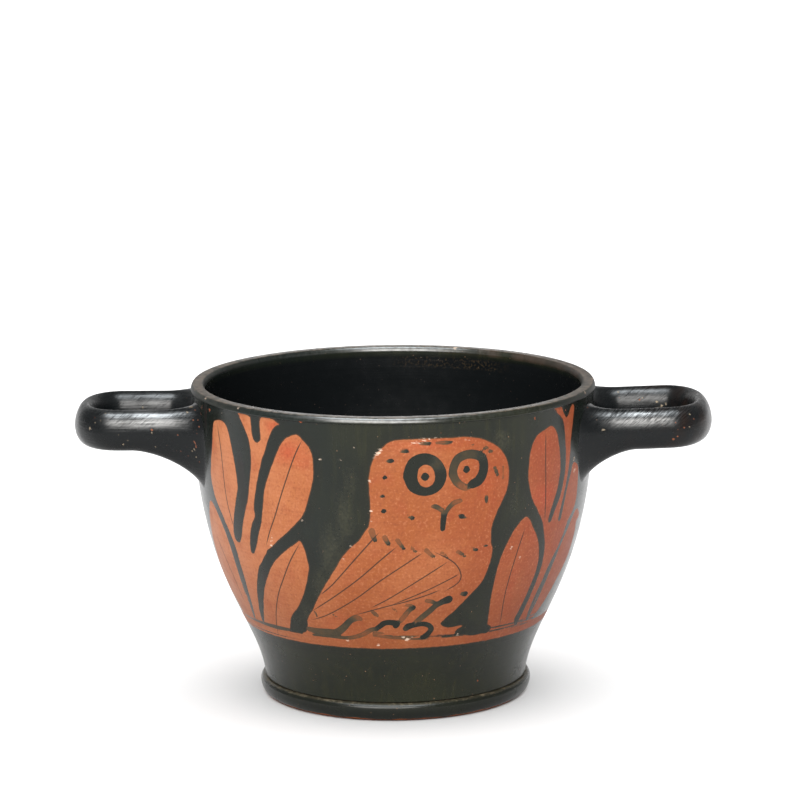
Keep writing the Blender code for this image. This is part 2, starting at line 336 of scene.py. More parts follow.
SPECKLES = [
    [(1.6, 73.9, 0.5, 0.35), (2.9, 73.8, 0.6, 0.55), (3.9, 73.8, 0.6, 0.95)],
    [(-1.6, 71.3, 0.35, 0.3), (-0.9, 71.3, 0.6, 0.9), (-0.3, 71.4, 0.55, 0.9)],
    [(-2.4, 67.1, 0.6, 0.95), (-2.3, 67.1, 0.6, 0.95)],
    [(-3.7, 62.3, 0.35, 0.3), (-2.9, 62.4, 0.6, 0.95)],
    [(-2.9, 58.4, 0.65, 1), (-2.7, 58.4, 0.65, 1)],
    [(3.7, 57.1, 0.4, 0.3), (4.7, 56.8, 0.5, 0.5), (5.3, 56.4, 0.55, 0.95)],
    [(18.7, 56.3, 0.5, 0.6), (19.5, 56.2, 0.65, 1), (21, 55.9, 0.3, 0.2)],
    [(26.7, 60.7, 0.55, 0.25), (26.8, 59.8, 0.5, 0.9), (26.8, 59.1, 0.3, 0.4)],
    [(7.3, 75.3, 0.5, 0.4), (8.8, 75.3, 0.55, 0.5), (10.1, 75.2, 0.6, 0.9)],
    [(11.9, 75.3, 0.5, 0.35), (14.2, 75.3, 0.6, 0.45), (16.2, 75.2, 0.55, 0.75)],
    [(18.3, 75.3, 0.35, 0.4), (20.3, 75.1, 0.4, 0.45), (22.7, 74.8, 0.35, 0.5)],
    [(25.4, 73.9, 0.4, 0.4), (26.9, 72.9, 0.5, 0.45), (28.4, 71.8, 0.4, 0.45)],
    [(29.1, 68, 0.45, 0.45), (29.6, 66.9, 0.5, 0.55), (30.2, 65.8, 0.4, 0.6)],
    [(31.7, 67.8, 0.4, 0.3), (31.9, 66.4, 0.2, 0.1), (31.9, 65, 0.35, 0.3)],
]
COLLAR = [
    [(-6.3, 53.1, 0.9, 0.3), (-5.8, 51.6, 0.7, 0.4), (-5.3, 50.5, 0.5, 0.85)],
    [(-2.7, 51.6, 0.65, 0.3), (-2.1, 50.5, 0.6, 0.45), (-1.5, 49.7, 0.55, 0.9)],
    [(1, 50.7, 0.65, 0.3), (1.9, 49.5, 0.5, 0.4), (2.8, 48.5, 0.5, 0.85)],
    [(5, 48.8, 0.45, 0.25), (5.8, 47.9, 0.4, 0.4), (6.6, 47.4, 0.3, 0.5)],
    [(9.3, 47.9, 0.65, 0.3), (10.6, 46.7, 0.55, 0.35), (11.8, 45.9, 0.4, 0.6)],
    [(13.9, 47, 0.45, 0.25), (15, 46.2, 0.4, 0.3), (15.8, 45.4, 0.35, 0.6)],
    [(18.8, 46.9, 0.6, 0.25), (20, 46.3, 0.5, 0.45), (21.1, 45.5, 0.4, 0.5)],
    [(23.3, 47.4, 0.4, 0.2), (24.8, 46.9, 0.5, 0.9)],
    [(26.8, 48, 0.35, 0.2), (27.9, 47.8, 0.45, 0.85)],
]
TAIL_AND_FEET = [
    [
        (-31.5, 24.6, 0.95, 0.5), (-27.9, 24.3, 1.25, 0.55), (-23.8, 24.4, 1.3, 0.6),
        (-20.8, 24.5, 1.3, 0.65), (-17.8, 26.1, 1.15, 0.6), (-15.1, 28.2, 0.95, 0.7),
        (-12.9, 29.1, 1.1, 0.45), (-11.5, 28.9, 0.75, 0.35),
    ],
    [
        (-30.3, 23.1, 0.5, 0.6), (-24.3, 23.2, 0.6, 0.65), (-19.9, 23.1, 0.6, 0.6),
        (-15.5, 23.3, 0.75, 0.45), (-11.6, 24.3, 0.8, 0.4), (-8.2, 25.8, 0.85, 0.5),
        (-6.6, 26.1, 0.75, 0.7),
    ],
    [
        (-6.4, 26.1, 0.8, 0.8), (-4.9, 27, 0.9, 1), (-3.3, 27.9, 0.95, 1), (-1, 28, 1.0, 1),
        (0.5, 27.7, 1.1, 1), (0.3, 27, 0.9, 1),
    ],
    [(-7.1, 24.8, 0.6, 0.4), (-5.1, 24.9, 0.5, 0.35), (-3.9, 25, 0.3, 0.3)],
    [
        (3.7, 26.2, 0.95, 0.75), (4.8, 26.9, 1.15, 1), (6.8, 27.2, 0.95, 1), (9.5, 27.4, 0.9, 0.95),
        (11.7, 26.8, 0.85, 0.85), (12.5, 25.6, 0.85, 0.85), (11.3, 24.3, 0.95, 1), (9.9, 23.5, 0.95, 1),
    ],
    [(2.1, 28.7, 0.8, 0.35), (3.4, 30.1, 0.8, 0.4), (4.6, 31.4, 0.75, 0.5), (5.9, 32.2, 0.85, 0.95)],
    [(3.6, 33, 0.5, 0.25), (5.2, 32.7, 0.65, 0.4)],
    [
        (7.1, 28, 0.85, 0.45), (8.9, 29.3, 0.95, 0.55), (11.1, 30.8, 0.95, 0.65), (13.2, 32.4, 0.9, 0.7),
        (15.4, 33.4, 1.0, 0.85), (17.2, 33.9, 1.3, 1),
    ],
]
BELLY = [
    [(10.2, 34, 0.65, 0.35), (12, 33.6, 0.65, 0.5), (13.3, 33, 0.5, 0.9)],
    [(21.6, 35.2, 0.6, 0.5), (22.7, 35.1, 0.85, 1)],
    [(-0.9, 32.2, 0.3, 0.35), (0, 31.7, 0.35, 0.35), (0.7, 31.3, 0.3, 0.3)],
    [(-7.5, 31.4, 0.45, 0.35), (-6.6, 30.6, 0.65, 0.45), (-5.6, 29.9, 0.45, 0.45)],
    [(-20.9, 29.8, 0.25, 0.5), (-19.8, 29.2, 0.3, 0.5), (-18.9, 28.7, 0.2, 0.5)],
    [(-27.3, 30.1, 0.35, 0.5), (-27, 29.2, 0.35, 0.6), (-26.9, 28.6, 0.25, 0.6)],
]
GROUND = [
    [(-3.5, 24.2, 0.3, 0.4), (2.1, 24.1, 0.3, 0.45), (8.6, 23.8, 0.25, 0.45)],
    [(11.5, 23.7, 0.3, 0.85), (17.4, 23.7, 0.3, 0.85), (21.7, 23.6, 0.3, 0.9)],
    [
        (-7.5, 24.2, 0.45, 0.35), (-1.1, 23.6, 0.5, 0.4), (7, 23.1, 0.4, 0.4), (13.3, 22.8, 0.25, 0.65),
        (19.7, 23, 0.25, 0.7), (25, 23, 0.25, 0.7),
    ],
    [
        (-72, 23, 0.3, 0.7), (-64, 23.1, 0.4, 0.68), (-56.8, 23.2, 0.6, 0.66), (-48.6, 23.2, 0.8, 0.66),
        (-43, 23.3, 0.7, 0.66), (-40, 23.4, 0.5, 0.7),
    ],
    [(-72, 20.9, 0.15, 0.8), (-56, 20.9, 0.2, 0.85), (-40, 20.8, 0.2, 0.85), (-25, 20.7, 0.1, 0.8)],
    [
        (35.2, 24, 0.3, 0.8), (43, 24.05, 0.28, 0.75), (51, 24.1, 0.28, 0.75), (59, 24.5, 0.28, 0.75),
        (69, 24.7, 0.25, 0.7),
    ],
    [
        (35.7, 23.1, 0.25, 0.8), (43.5, 23.2, 0.28, 0.75), (51.5, 23.3, 0.28, 0.75),
        (60, 23.6, 0.28, 0.75), (71, 23.6, 0.25, 0.7),
    ],
    [(36, 22.4, 0.22, 0.75), (44, 22.4, 0.25, 0.75), (52.2, 22.5, 0.25, 0.75), (59, 22.9, 0.15, 0.7)],
]

# Fine drawn lines, in groups whose lines don't come close to each other. A line tapers over one part in so
# many of its length, and what is kept about it fades at a distance.
FINE_HALF_WIDTH = 0.17
FINE_TAPER = 9
FINE_FADE = (1.1, 0.5)
FINE_LINES = {
    "fine_a": [
        [(-4, 53), (-8.4, 48.6), (-17.7, 39.6), (-20.8, 37.1), (-23.7, 35.2)],
        [(8.2, 47.1), (5.2, 45.4), (-3.9, 40), (-12.6, 34.4), (-22.4, 29.6), (-29.8, 27.3)],
        [(19.8, 40.8), (16.5, 39.4), (8.5, 36.3), (-0.9, 33.1)],
        [(-25.7, 75.7), (-28.1, 71.6), (-32, 63.4), (-35.8, 55.5), (-38.5, 51), (-41, 46.6)],
        [(-58.8, 76.6), (-57, 68.7), (-56.4, 57.4), (-55.4, 52.4), (-54.8, 49.8)],
        [(41.4, 51.2), (39.5, 44.8), (38.3, 38.4), (38.2, 31.8), (40.2, 23.4)],
    ],
    "fine_b": [
        [(0.9, 49.1), (-3.9, 45.5), (-11.2, 39.9), (-20.2, 34.3), (-28.6, 29.9)],
        [(16.3, 44.6), (7.6, 39.9), (-2, 34.7), (-7.6, 32.2)],
        [(-28.2, 49), (-32.6, 43.6), (-36.4, 38.5), (-40.9, 32.9), (-45.8, 25.9), (-48.7, 20.7)],
        [(-68.9, 45.2), (-64.5, 35.2), (-63.9, 28)],
        [(47.4, 75.1), (47.6, 67.4), (48.6, 58), (49.5, 51.2)],
    ],
    "fine_c": [
        [(11.3, 47.5), (16.4, 45), (19, 43), (20.5, 40.5), (20.2, 38.8), (18.5, 37.6), (15.6, 36.3)],
    ],
    "fine_d": [
        [(14.2, 36.8), (10.3, 35.6), (3.5, 33.9), (-3.1, 32.5), (-14.3, 29.7)],
    ],
}

# Places where the slip is thin and burnt maroon, where it is scuffed olive, or where the bare clay is
# flushed red: angle, height, half width, half height and strength
THIN_SLIP = [
    (-48.2, 65, 1.7, 5, 0.9), (-47.2, 58, 2.2, 4.2, 0.95), (-43.4, 52.5, 0.8, 3, 0.7),
    (-44.4, 37.5, 1.3, 3, 0.6), (-66.5, 77, 1.0, 5, 0.8), (-69, 69, 0.9, 7, 0.7),
    (-73.5, 73, 1.0, 7, 0.6), (36, 70, 1.2, 9, 0.3), (38.5, 66, 0.8, 9, 0.25), (57, 77, 4, 2.5, 0.35),
]
SCUFFS = [
    (-18.5, 45, 4, 9, 0.9), (-14, 56, 3, 8, 0.6), (-22.5, 36, 4, 6, 0.9), (-30, 29, 4, 4, 0.6),
    (-12, 66, 2.5, 6, 0.4), (31, 74, 3.5, 3.5, 0.7), (36, 62, 2.5, 12, 0.4), (37, 50, 2, 8, 0.3),
]
FLUSHES = [
    (-30, 72.5, 5.5, 3.8, 0.7), (-27, 71, 4, 3, 0.5), (10, 75.5, 14, 2.4, 0.5), (47.5, 58, 7, 3.6, 0.6),
    (46, 49, 3, 3, 0.35), (27, 64, 3, 6, 0.35), (-20, 26, 8, 5, 0.3), (-62.5, 73.5, 1.8, 4, 0.8),
    (46.5, 72, 3, 3, 0.4), (40, 36, 3, 10, 0.3), (-34.8, 78.6, 3, 2.2, 0.9),
]

# Chips through the black, and pale dust and crust: angle, height and size in millimetres
CHIPS = [
    (-39, 80.1, 0.3), (-37.5, 80, 0.35), (-36, 80, 0.35), (-34.5, 79.9, 0.35), (-33, 79.9, 0.3),
    (-27.7, 79.8, 0.4), (-24, 78, 0.25), (-63.5, 78.8, 0.5), (-66, 77.5, 0.45), (-71, 76.5, 0.6),
    (-69.5, 78.5, 0.5), (43, 79, 0.25), (57, 78.7, 0.45), (53, 77.5, 0.3), (20, 12, 0.1), (5, 14, 0.05),
    (37, 8.6, 0.2), (13.5, 78.2, 0.25), (-72, 71, 0.35), (-71, 66, 0.3), (-66.9, 78.7, 0.35),
    (-63.2, 78.4, 0.4), (-26, 80.3, 0.35), (-30.4, 80.2, 0.3),
]
DUST = [
    (-3.2, 74.2, 0.5), (-3.9, 73.6, 0.5), (-4.6, 72.9, 0.45), (-5.2, 72.2, 0.35), (5, 76.1, 0.4),
    (6, 76.2, 0.5), (7.2, 76.3, 0.6), (8.4, 76.4, 0.6), (9.8, 76.4, 0.4), (11.4, 76.5, 0.3),
    (13, 76.5, 0.3), (17, 76.1, 0.35), (18.4, 76.2, 0.4), (19.8, 76.2, 0.35), (21.4, 76.1, 0.3),
    (-6.6, 66, 0.3), (-6.3, 62.5, 0.25), (-6.4, 58.5, 0.35), (-6.5, 55.5, 0.3), (-3.5, 53.5, 0.25),
    (-12.3, 49, 0.3), (-15, 45.8, 0.25), (-57.1, 79.6, 0.1), (-56, 79, 0.05), (-16.9, 74, 0.2),
    (-15.2, 74, 0.2), (-10.7, 74.7, 0.2), (-38.1, 49.4, 0.25), (-38.4, 48.4, 0.25), (-38.8, 47.2, 0.3),
    (63.7, 63.2, 0.5), (63.3, 62.2, 0.45), (4.5, 23.1, 0.5), (3, 23.5, 0.3), (5.6, 23.4, 0.25),
    (-17, 22.5, 0.3), (22.5, 23.6, 0.35), (-27, 55, 0.25), (37, 46, 0.35), (41, 43, 0.35),
    (-20.5, 71, 0.35), (62.5, 65.5, 0.5), (-14.5, 71.3, 0.25), (-6, 21.2, 0.3),
]
# Dust on the lip: angle, millimetres from its undercut over its top and down inside, and size
LIP_DUST = [
    (5, 2.9, 0.3), (92, 3.5, 0.6), (95, 2.7, 0.5), (-92, 3.2, 0.4), (-100, 2.3, 0.4), (174, 3.2, 0.7),
    (150, 3.0, 0.5), (140, 2.7, 0.4), (-150, 3.4, 0.3), (60, 2.9, 0.3), (-58, 2.7, 0.3), (128, 2.3, 0.5),
    (-125, 2.8, 0.4), (133, 3.5, 0.4), (-72, 2.5, 0.35), (160, 4.3, 0.6), (-66, 1.5, 0.3),
    (-78, 1.9, 0.3), (165, 8.1, 0.5), (158, 9.1, 0.6), (171, 7.1, 0.4), (176, 8.6, 0.35), (152, 8.1, 0.4),
    (89.6, 2.9, 0.9), (88, 2.3, 0.7), (-84, 2.2, 0.5), (-48, 1.6, 0.3), (-40, 4.6, 0.3), (-30, 4.4, 0.25),
    (70, 1.8, 0.4),
]

# Chips and dust on each handle's near and far arm, as they are seen from the front: along X, height and
# size in millimetres, and how much of that size a spot has on the handle
HANDLE_SPOT_SCALE = 0.55
HANDLE_CHIPS = {
    "left": {
        "near": [
            (-77.6, 76.3, 0.3), (-55.2, 71.1, 0.25), (-51.1, 70.0, 0.45), (-54, 66.9, 0.35),
            (-50.5, 77.3, 0.4), (-61.7, 72.6, 0.55), (-52.5, 65.6, 0.25), (-51, 75, 0.3),
            (-50, 72.8, 0.3), (-49.4, 73.6, 0.3), (-50.2, 71.8, 0.3), (-50.4, 67.9, 0.3),
            (-51.2, 67.1, 0.25), (-49.6, 64.5, 0.35), (-49.8, 75.4, 0.3), (-50.6, 69, 0.2),
        ],
    },
    "right": {
        "near": [
            (78.2, 74.7, 0.45), (71.8, 73.6, 0.35), (72.7, 71.8, 0.3), (74.2, 72.2, 0.5),
            (71.5, 69.2, 0.6), (72.5, 69.9, 0.35), (49.6, 77.5, 0.3),
        ],
        "far": [
            (64.5, 73.7, 0.5), (59.5, 74.1, 0.35),
        ],
    },
}
HANDLE_DUST = {
    "left": {
        "near": [
            (-74.9, 74.6, 0.45), (-80.3, 72.9, 0.55), (-67.7, 69.6, 0.4), (-69, 68.6, 0.35),
            (-69.7, 71.2, 0.25), (-76.4, 73.9, 0.2), (-73.3, 76.5, 0.2), (-72.7, 76.5, 0.2),
            (-60.7, 68.1, 0.25), (-54.9, 72, 0.25), (-50.6, 67.7, 0.35), (-50.4, 65.3, 0.3),
            (-51.3, 66.9, 0.3), (-61.6, 71.9, 0.4), (-51.7, 78, 0.8), (-52.6, 76.8, 0.5),
        ],
        "far": [
            (-65.9, 73.1, 0.4),
        ],
    },
    "right": {
        "near": [
            (75.6, 75.3, 0.35), (75.7, 72.2, 0.25), (53.9, 72, 0.25), (52.9, 72.1, 0.2),
        ],
        "far": [
            (65.4, 73.9, 0.4), (70.4, 72.1, 0.6), (68.9, 71.5, 0.6), (71.6, 72.3, 0.5),
            (59.2, 75.6, 0.35), (69.6, 73.1, 0.5), (67.2, 71.1, 0.4),
        ],
    },
}


def linear(red, green, blue):
    """A screen's colour, whose parts run from 0 to 255, as the shader counts light."""
    share = np.array([red, green, blue]) / 255
    return tuple(float(c) for c in np.where(share > 0.04045, ((share + 0.055) / 1.055) ** 2.4, share / 12.92))


def cubic(start, pull_start, pull_end, end, count):
    """A cubic curve: the four points, weighted by the terms of (1 - t + t) cubed."""
    t = np.linspace(0, 1, count)[:, None]
    weights = ((1 - t) ** 3, 3 * t * (1 - t) ** 2, 3 * t**2 * (1 - t), t**3)
    return sum(w * np.array(p) for w, p in zip(weights, (start, pull_start, pull_end, end)))


def arc(centre, radii, first, last, count):
    """An arc of an ellipse: its centre plus its radii times the cosine and the sine of the angle."""
    angle = np.linspace(first, last, count)
    return np.array(centre) + np.stack([radii[0] * np.cos(angle), radii[1] * np.sin(angle)], 1)


def lip_arc():
    """The lip: a low oval below, a flattened oval that slants up to the flat top, and its like inside."""
    below = arc(LIP_CENTRE, (LIP_ROLL, LIP_DROP), LIP_UNDERCUT, 0, LIP_ROWS)
    angle = np.linspace(0, math.pi / 2, 2 * LIP_ROWS)
    power = 2 / LIP_FACE_SQUARENESS
    slant = np.stack([LIP_FACE * np.cos(angle) ** power, LIP_RISE * np.sin(angle) ** power], 1)
    face = (LIP_RADIUS - LIP_FACE, LIP_CENTRE[1]) + slant
    inner_edge = LIP_RADIUS - 2 * LIP_ROLL
    inner_face = (inner_edge + LIP_FACE, LIP_CENTRE[1]) + slant[::-1] * (-1, 1)
    return np.vstack([below, face[1:], inner_face])


def outer_wall():
    """The wall's outside: a cubic curve from the base to the lip, swollen by its two pulls."""
    base = np.array([BASE_RADIUS, BASE_LEVEL])
    top = lip_arc()[0]
    growth, rise = top - base
    pull_foot = base + (SWELL_AT_FOOT[0] * growth, SWELL_AT_FOOT[1] * rise)
    pull_lip = top + (SWELL_AT_LIP[0] * growth, -SWELL_AT_LIP[1] * rise)
    return cubic(base, pull_foot, pull_lip, top, WALL_ROWS)


def inner_wall():
    """The inside: the outside moved in by the wall along its normals, and a parabola into the floor."""
    outside = outer_wall()
    along = np.gradient(outside, axis=0)
    along /= np.linalg.norm(along, axis=1)[:, None]
    inside = outside + WALL * np.stack([-along[:, 1], along[:, 0]], 1)
    fillet_level = FLOOR_LEVEL + FLOOR_FILLET
    fillet_radius = np.interp(fillet_level, inside[:, 1], inside[:, 0])
    corner_radius = np.interp(FLOOR_LEVEL, inside[:, 1], inside[:, 0])
    below_lip = inside[:, 1] < LIP_CENTRE[1] - LIP_RISE
    straight = inside[(inside[:, 1] > fillet_level + MM) & below_lip][::-INSIDE_STEP]
    t = np.linspace(0, 1, FILLET_ROWS)[:, None]
    start = np.array([fillet_radius, fillet_level])
    corner = np.array([corner_radius, FLOOR_LEVEL])
    end = np.array([corner_radius - FLOOR_FILLET, FLOOR_LEVEL])
    return np.vstack([straight, (1 - t) ** 2 * start + 2 * t * (1 - t) * corner + t**2 * end])


def bowl_profile():
    """The bowl's rows: out under the floor, up the outside, over the lip and down the inside."""
    under = np.linspace(0, BASE_RADIUS, UNDERSIDE_ROWS + 1)[1:-1]
    underside = np.stack([under, np.full(len(under), BASE_LEVEL)], 1)
    return np.vstack([underside, outer_wall(), lip_arc()[1:], inner_wall()])


def foot_profile():
    """The foot ring's closed rows: inner slope, tread, the tuck's arc and the shoulder's arc."""
    shoulder_level = FOOT_HEIGHT - FOOT_SHOULDER
    tuck_centre = (FOOT_RADIUS - FOOT_TUCK, shoulder_level)
    tuck = arc(tuck_centre, (FOOT_TUCK, shoulder_level), -math.pi / 2, 0, FOOT_ARC_ROWS)
    shoulder_width = FOOT_RADIUS - BASE_RADIUS
    shoulder_radii = (shoulder_width, FOOT_SHOULDER)
    shoulder = arc((BASE_RADIUS, shoulder_level), shoulder_radii, 0, math.pi / 2, FOOT_ARC_ROWS)
    tread_inner = FOOT_RADIUS - FOOT_TUCK - TREAD_WIDTH
    inner = [(tread_inner - FOOT_INNER_SLOPE, FOOT_HEIGHT), (tread_inner, 0.0)]
    return np.vstack([inner, tuck, shoulder[1:]])


def turned(profile, steps):
    """A turned surface: each row's radius times the angle's sine and minus its cosine, and its height."""
    angle = math.radians(-90) + np.arange(steps) * math.tau / steps
    radius = profile[:, :1]
    level = np.broadcast_to(profile[:, 1:], (len(profile), steps))
    return np.stack([radius * np.sin(angle), -radius * np.cos(angle), level], -1)


def wall_reach(y, level):
    """Distance along X from the middle plane to the wall: the root of its radius squared less y squared."""
    outside = outer_wall()
    radius = np.interp(level, outside[:, 1], outside[:, 0])
    return np.sqrt(np.maximum(radius**2 - y**2, 0))


def flare(extent_and_length, gap):
    """A root's extra half width: a quarter oval over its gap to the wall, which it meets along the wall."""
    extent, length = extent_and_length
    share = np.clip(1 - gap / length, 0, 1)
    return extent * (1 - (1 - share**FLARE_SQUARENESS) ** (1 / FLARE_SQUARENESS))


def loop_handle(values):
    """A loop handle: ovals carried along an arm, round a squared bow and back along the other arm.

    Each quarter of an oval flares towards the wall, and each line along the arms starts just inside it,
    with rows that crowd there as the square of their share of the arm.
    """
    half = values["half_spread"]
    half_thickness = HANDLE_THICKNESS / 2
    below = SECTION_BELLY * values["section_height"]
    above = values["section_height"] - below
    level = HEIGHT - values["crest_drop"] - above
    tip = HANDLE_REACH - half_thickness
    bow_start = tip - BOW_LENGTH
    angle = np.arange(SECTION_STEPS) * math.tau / SECTION_STEPS
    power = 2 / np.where(np.sin(angle) > 0, CREST_SQUARENESS, UNDERSIDE_SQUARENESS)
    across = np.sign(np.cos(angle)) * np.abs(np.cos(angle)) ** power
    upward = np.sign(np.sin(angle)) * np.abs(np.sin(angle)) ** power
    half_height = np.where(upward > 0, above, below)
    out, into, up, down = (values[name] for name in FLARES)
    widest = across * (half_thickness + np.where(across > 0, out[0], into[0]))
    tallest = upward * (half_height + np.where(upward > 0, up[0], down[0]))
    root = wall_reach(half + widest, level + tallest) - ROOT_INSET
    share = np.linspace(0, 1, ARM_ROWS)[:-1, None] ** 2
    arm = root * (1 - share) + bow_start * share
    turn = np.linspace(math.pi / 2, -math.pi / 2, BOW_ROWS)
    power = 2 / BOW_SQUARENESS
    bow_x = bow_start + BOW_LENGTH * np.cos(turn) ** power
    bow_y = half * np.sign(np.sin(turn)) * np.abs(np.sin(turn)) ** power
    rows = np.broadcast_to(bow_x[:, None], (BOW_ROWS, SECTION_STEPS))
    along_x = np.vstack([arm, rows, arm[::-1]])
    middle_y = np.concatenate([np.full(len(arm), half), bow_y, np.full(len(arm), -half)])[:, None]
    middle_x = np.concatenate([np.full(len(arm), bow_start), bow_x, np.full(len(arm), bow_start)])
    slope = np.gradient(np.stack([middle_x, middle_y[:, 0]], 1), axis=0)
    slope[: len(arm)] = (1, 0)
    slope[-len(arm) :] = (-1, 0)
    slope /= np.linalg.norm(slope, axis=1)[:, None]
    normal_x = -slope[:, 1:]
    normal_y = slope[:, :1]
    reach = wall_reach(half, level)
    climb = values["rise"] * np.clip((along_x - reach) / (tip - reach), 0, 1)
    wide = across * half_thickness
    tall = upward * half_height
    for _ in range(FLARE_PASSES):
        gap = along_x - wall_reach(middle_y + normal_y * wide, level + tall)
        flare_out, flare_in, flare_up, flare_down = (flare(f, gap) for f in (out, into, up, down))
        wide = across * (half_thickness + np.where(across > 0, flare_out, flare_in))
        tall = upward * (half_height + np.where(upward > 0, flare_up, flare_down))
    x = along_x + normal_x * wide
    y = middle_y + normal_y * wide
    z = level + climb + tall
    return np.stack([values["side"] * x, y, z], -1)


def surface(name, grid, poles=(), closed=False, bands=()):
    """A closed mesh over a grid of points whose columns run round, with its bake map in stacked strips.

    A pole closes the first and the last row with triangles; a closed grid joins its last row to its first.
    A band is its first and last row, its low and high edge in the map and the strips that it is cut into.
    """
    rows, columns = grid.shape[:2]
    last = rows if closed else rows - 1
    i, j = np.meshgrid(np.arange(last), np.arange(columns), indexing="ij")
    corner_rows = np.stack([i, i, i + 1, i + 1], -1).reshape(-1, 4)
    corner_columns = np.stack([j, j + 1, j + 1, j], -1).reshape(-1, 4)
    faces = corner_rows % rows * columns + corner_columns % columns
    points = grid.reshape(-1, 3)
    loops = [faces]
    loop_rows = [corner_rows]
    loop_columns = [corner_columns]
    for pole, row, outer_row in zip(poles, (-1, rows), (0, rows - 1)):
        j = np.arange(columns)
        ring = np.stack([j, j + 1] if row > 0 else [j + 1, j], -1)
        tip = np.full((columns, 1), len(points))
        loops.append(np.hstack([outer_row * columns + ring % columns, tip]))
        loop_rows.append(np.hstack([np.full((columns, 2), outer_row), np.full((columns, 1), row)]))
        loop_columns.append(np.hstack([ring, j[:, None] + 0.5]))
        points = np.vstack([points, [pole]])
    inwards = signed_volume(points, loops) < 0
    if inwards:
        loops, loop_rows, loop_columns = ([a[:, ::-1] for a in s] for s in (loops, loop_rows, loop_columns))
    mesh = bpy.data.meshes.new(name)
    mesh.from_pydata(points.tolist(), [], [face for group in loops for face in group.tolist()])
    uv = mesh.uv_layers.new(name="OFBake")
    places = [strip_place(r, c, columns, bands) for r, c in zip(loop_rows, loop_columns)]
    uv.data.foreach_set("uv", np.vstack(places).astype(np.float32).ravel())
    mesh.shade_smooth()
    mesh.set_sharp_from_angle(angle=SHARP_ANGLE)
    piece = bpy.data.objects.new(name, mesh)
    bpy.context.scene.collection.objects.link(piece)
    return piece


def signed_volume(points, loops):
    """A closed mesh's volume, less than nothing where its faces point inwards."""
    total = 0.0
    for faces in loops:
        for k in range(1, faces.shape[1] - 1):
            a, b, c = (points[faces[:, n]] for n in (0, k, k + 1))
            total += np.einsum("ij,ij->i", a, np.cross(b, c)).sum()
    return total


def strip_place(rows, columns, count, bands):
    """The place in the bake map of each corner: along its strip, and up by its row in its band."""
    place = np.zeros((*rows.shape, 2))
    low_row = rows.min(1, keepdims=True)
    for first, last, low, high, strips in bands:
        width = count / strips
        strip = np.floor(columns.min(1, keepdims=True) / width)
        inside = (low_row >= first) & (low_row < last)
        across = (columns - strip * width) / width
        across = STRIP_END_MARGIN + (1 - 2 * STRIP_END_MARGIN) * across
        up = STRIP_SIDE_MARGIN + (1 - 2 * STRIP_SIDE_MARGIN) * (rows - first) / (last - first)
        up = (strip + up) / strips
        place[..., 0] = np.where(inside, across, place[..., 0])
        place[..., 1] = np.where(inside, low + (high - low) * up, place[..., 1])
    return place.reshape(-1, 2)


def smooth(points, closed):
    """A smooth curve through points: cubics whose slope at each is half the way between its neighbours."""
    knots = np.asarray(points, float)
    if closed:
        knots = np.concatenate([knots[-1:], knots, knots[:2]])
    else:
        knots = np.concatenate([2 * knots[:1] - knots[1:2], knots, 2 * knots[-1:] - knots[-2:-1]])
    t = (np.arange(CURVE_STEPS) / CURVE_STEPS)[:, None, None]
    a, b, c, d = knots[:-3], knots[1:-2], knots[2:-1], knots[3:]
    curve = 0.5 * (2 * b + (c - a) * t + (2 * a - 5 * b + 4 * c - d) * t**2 + (3 * b - a - 3 * c + d) * t**3)
    curve = curve.transpose(1, 0, 2).reshape(-1, knots.shape[1])
    return curve if closed else np.concatenate([curve, c[-1:]])


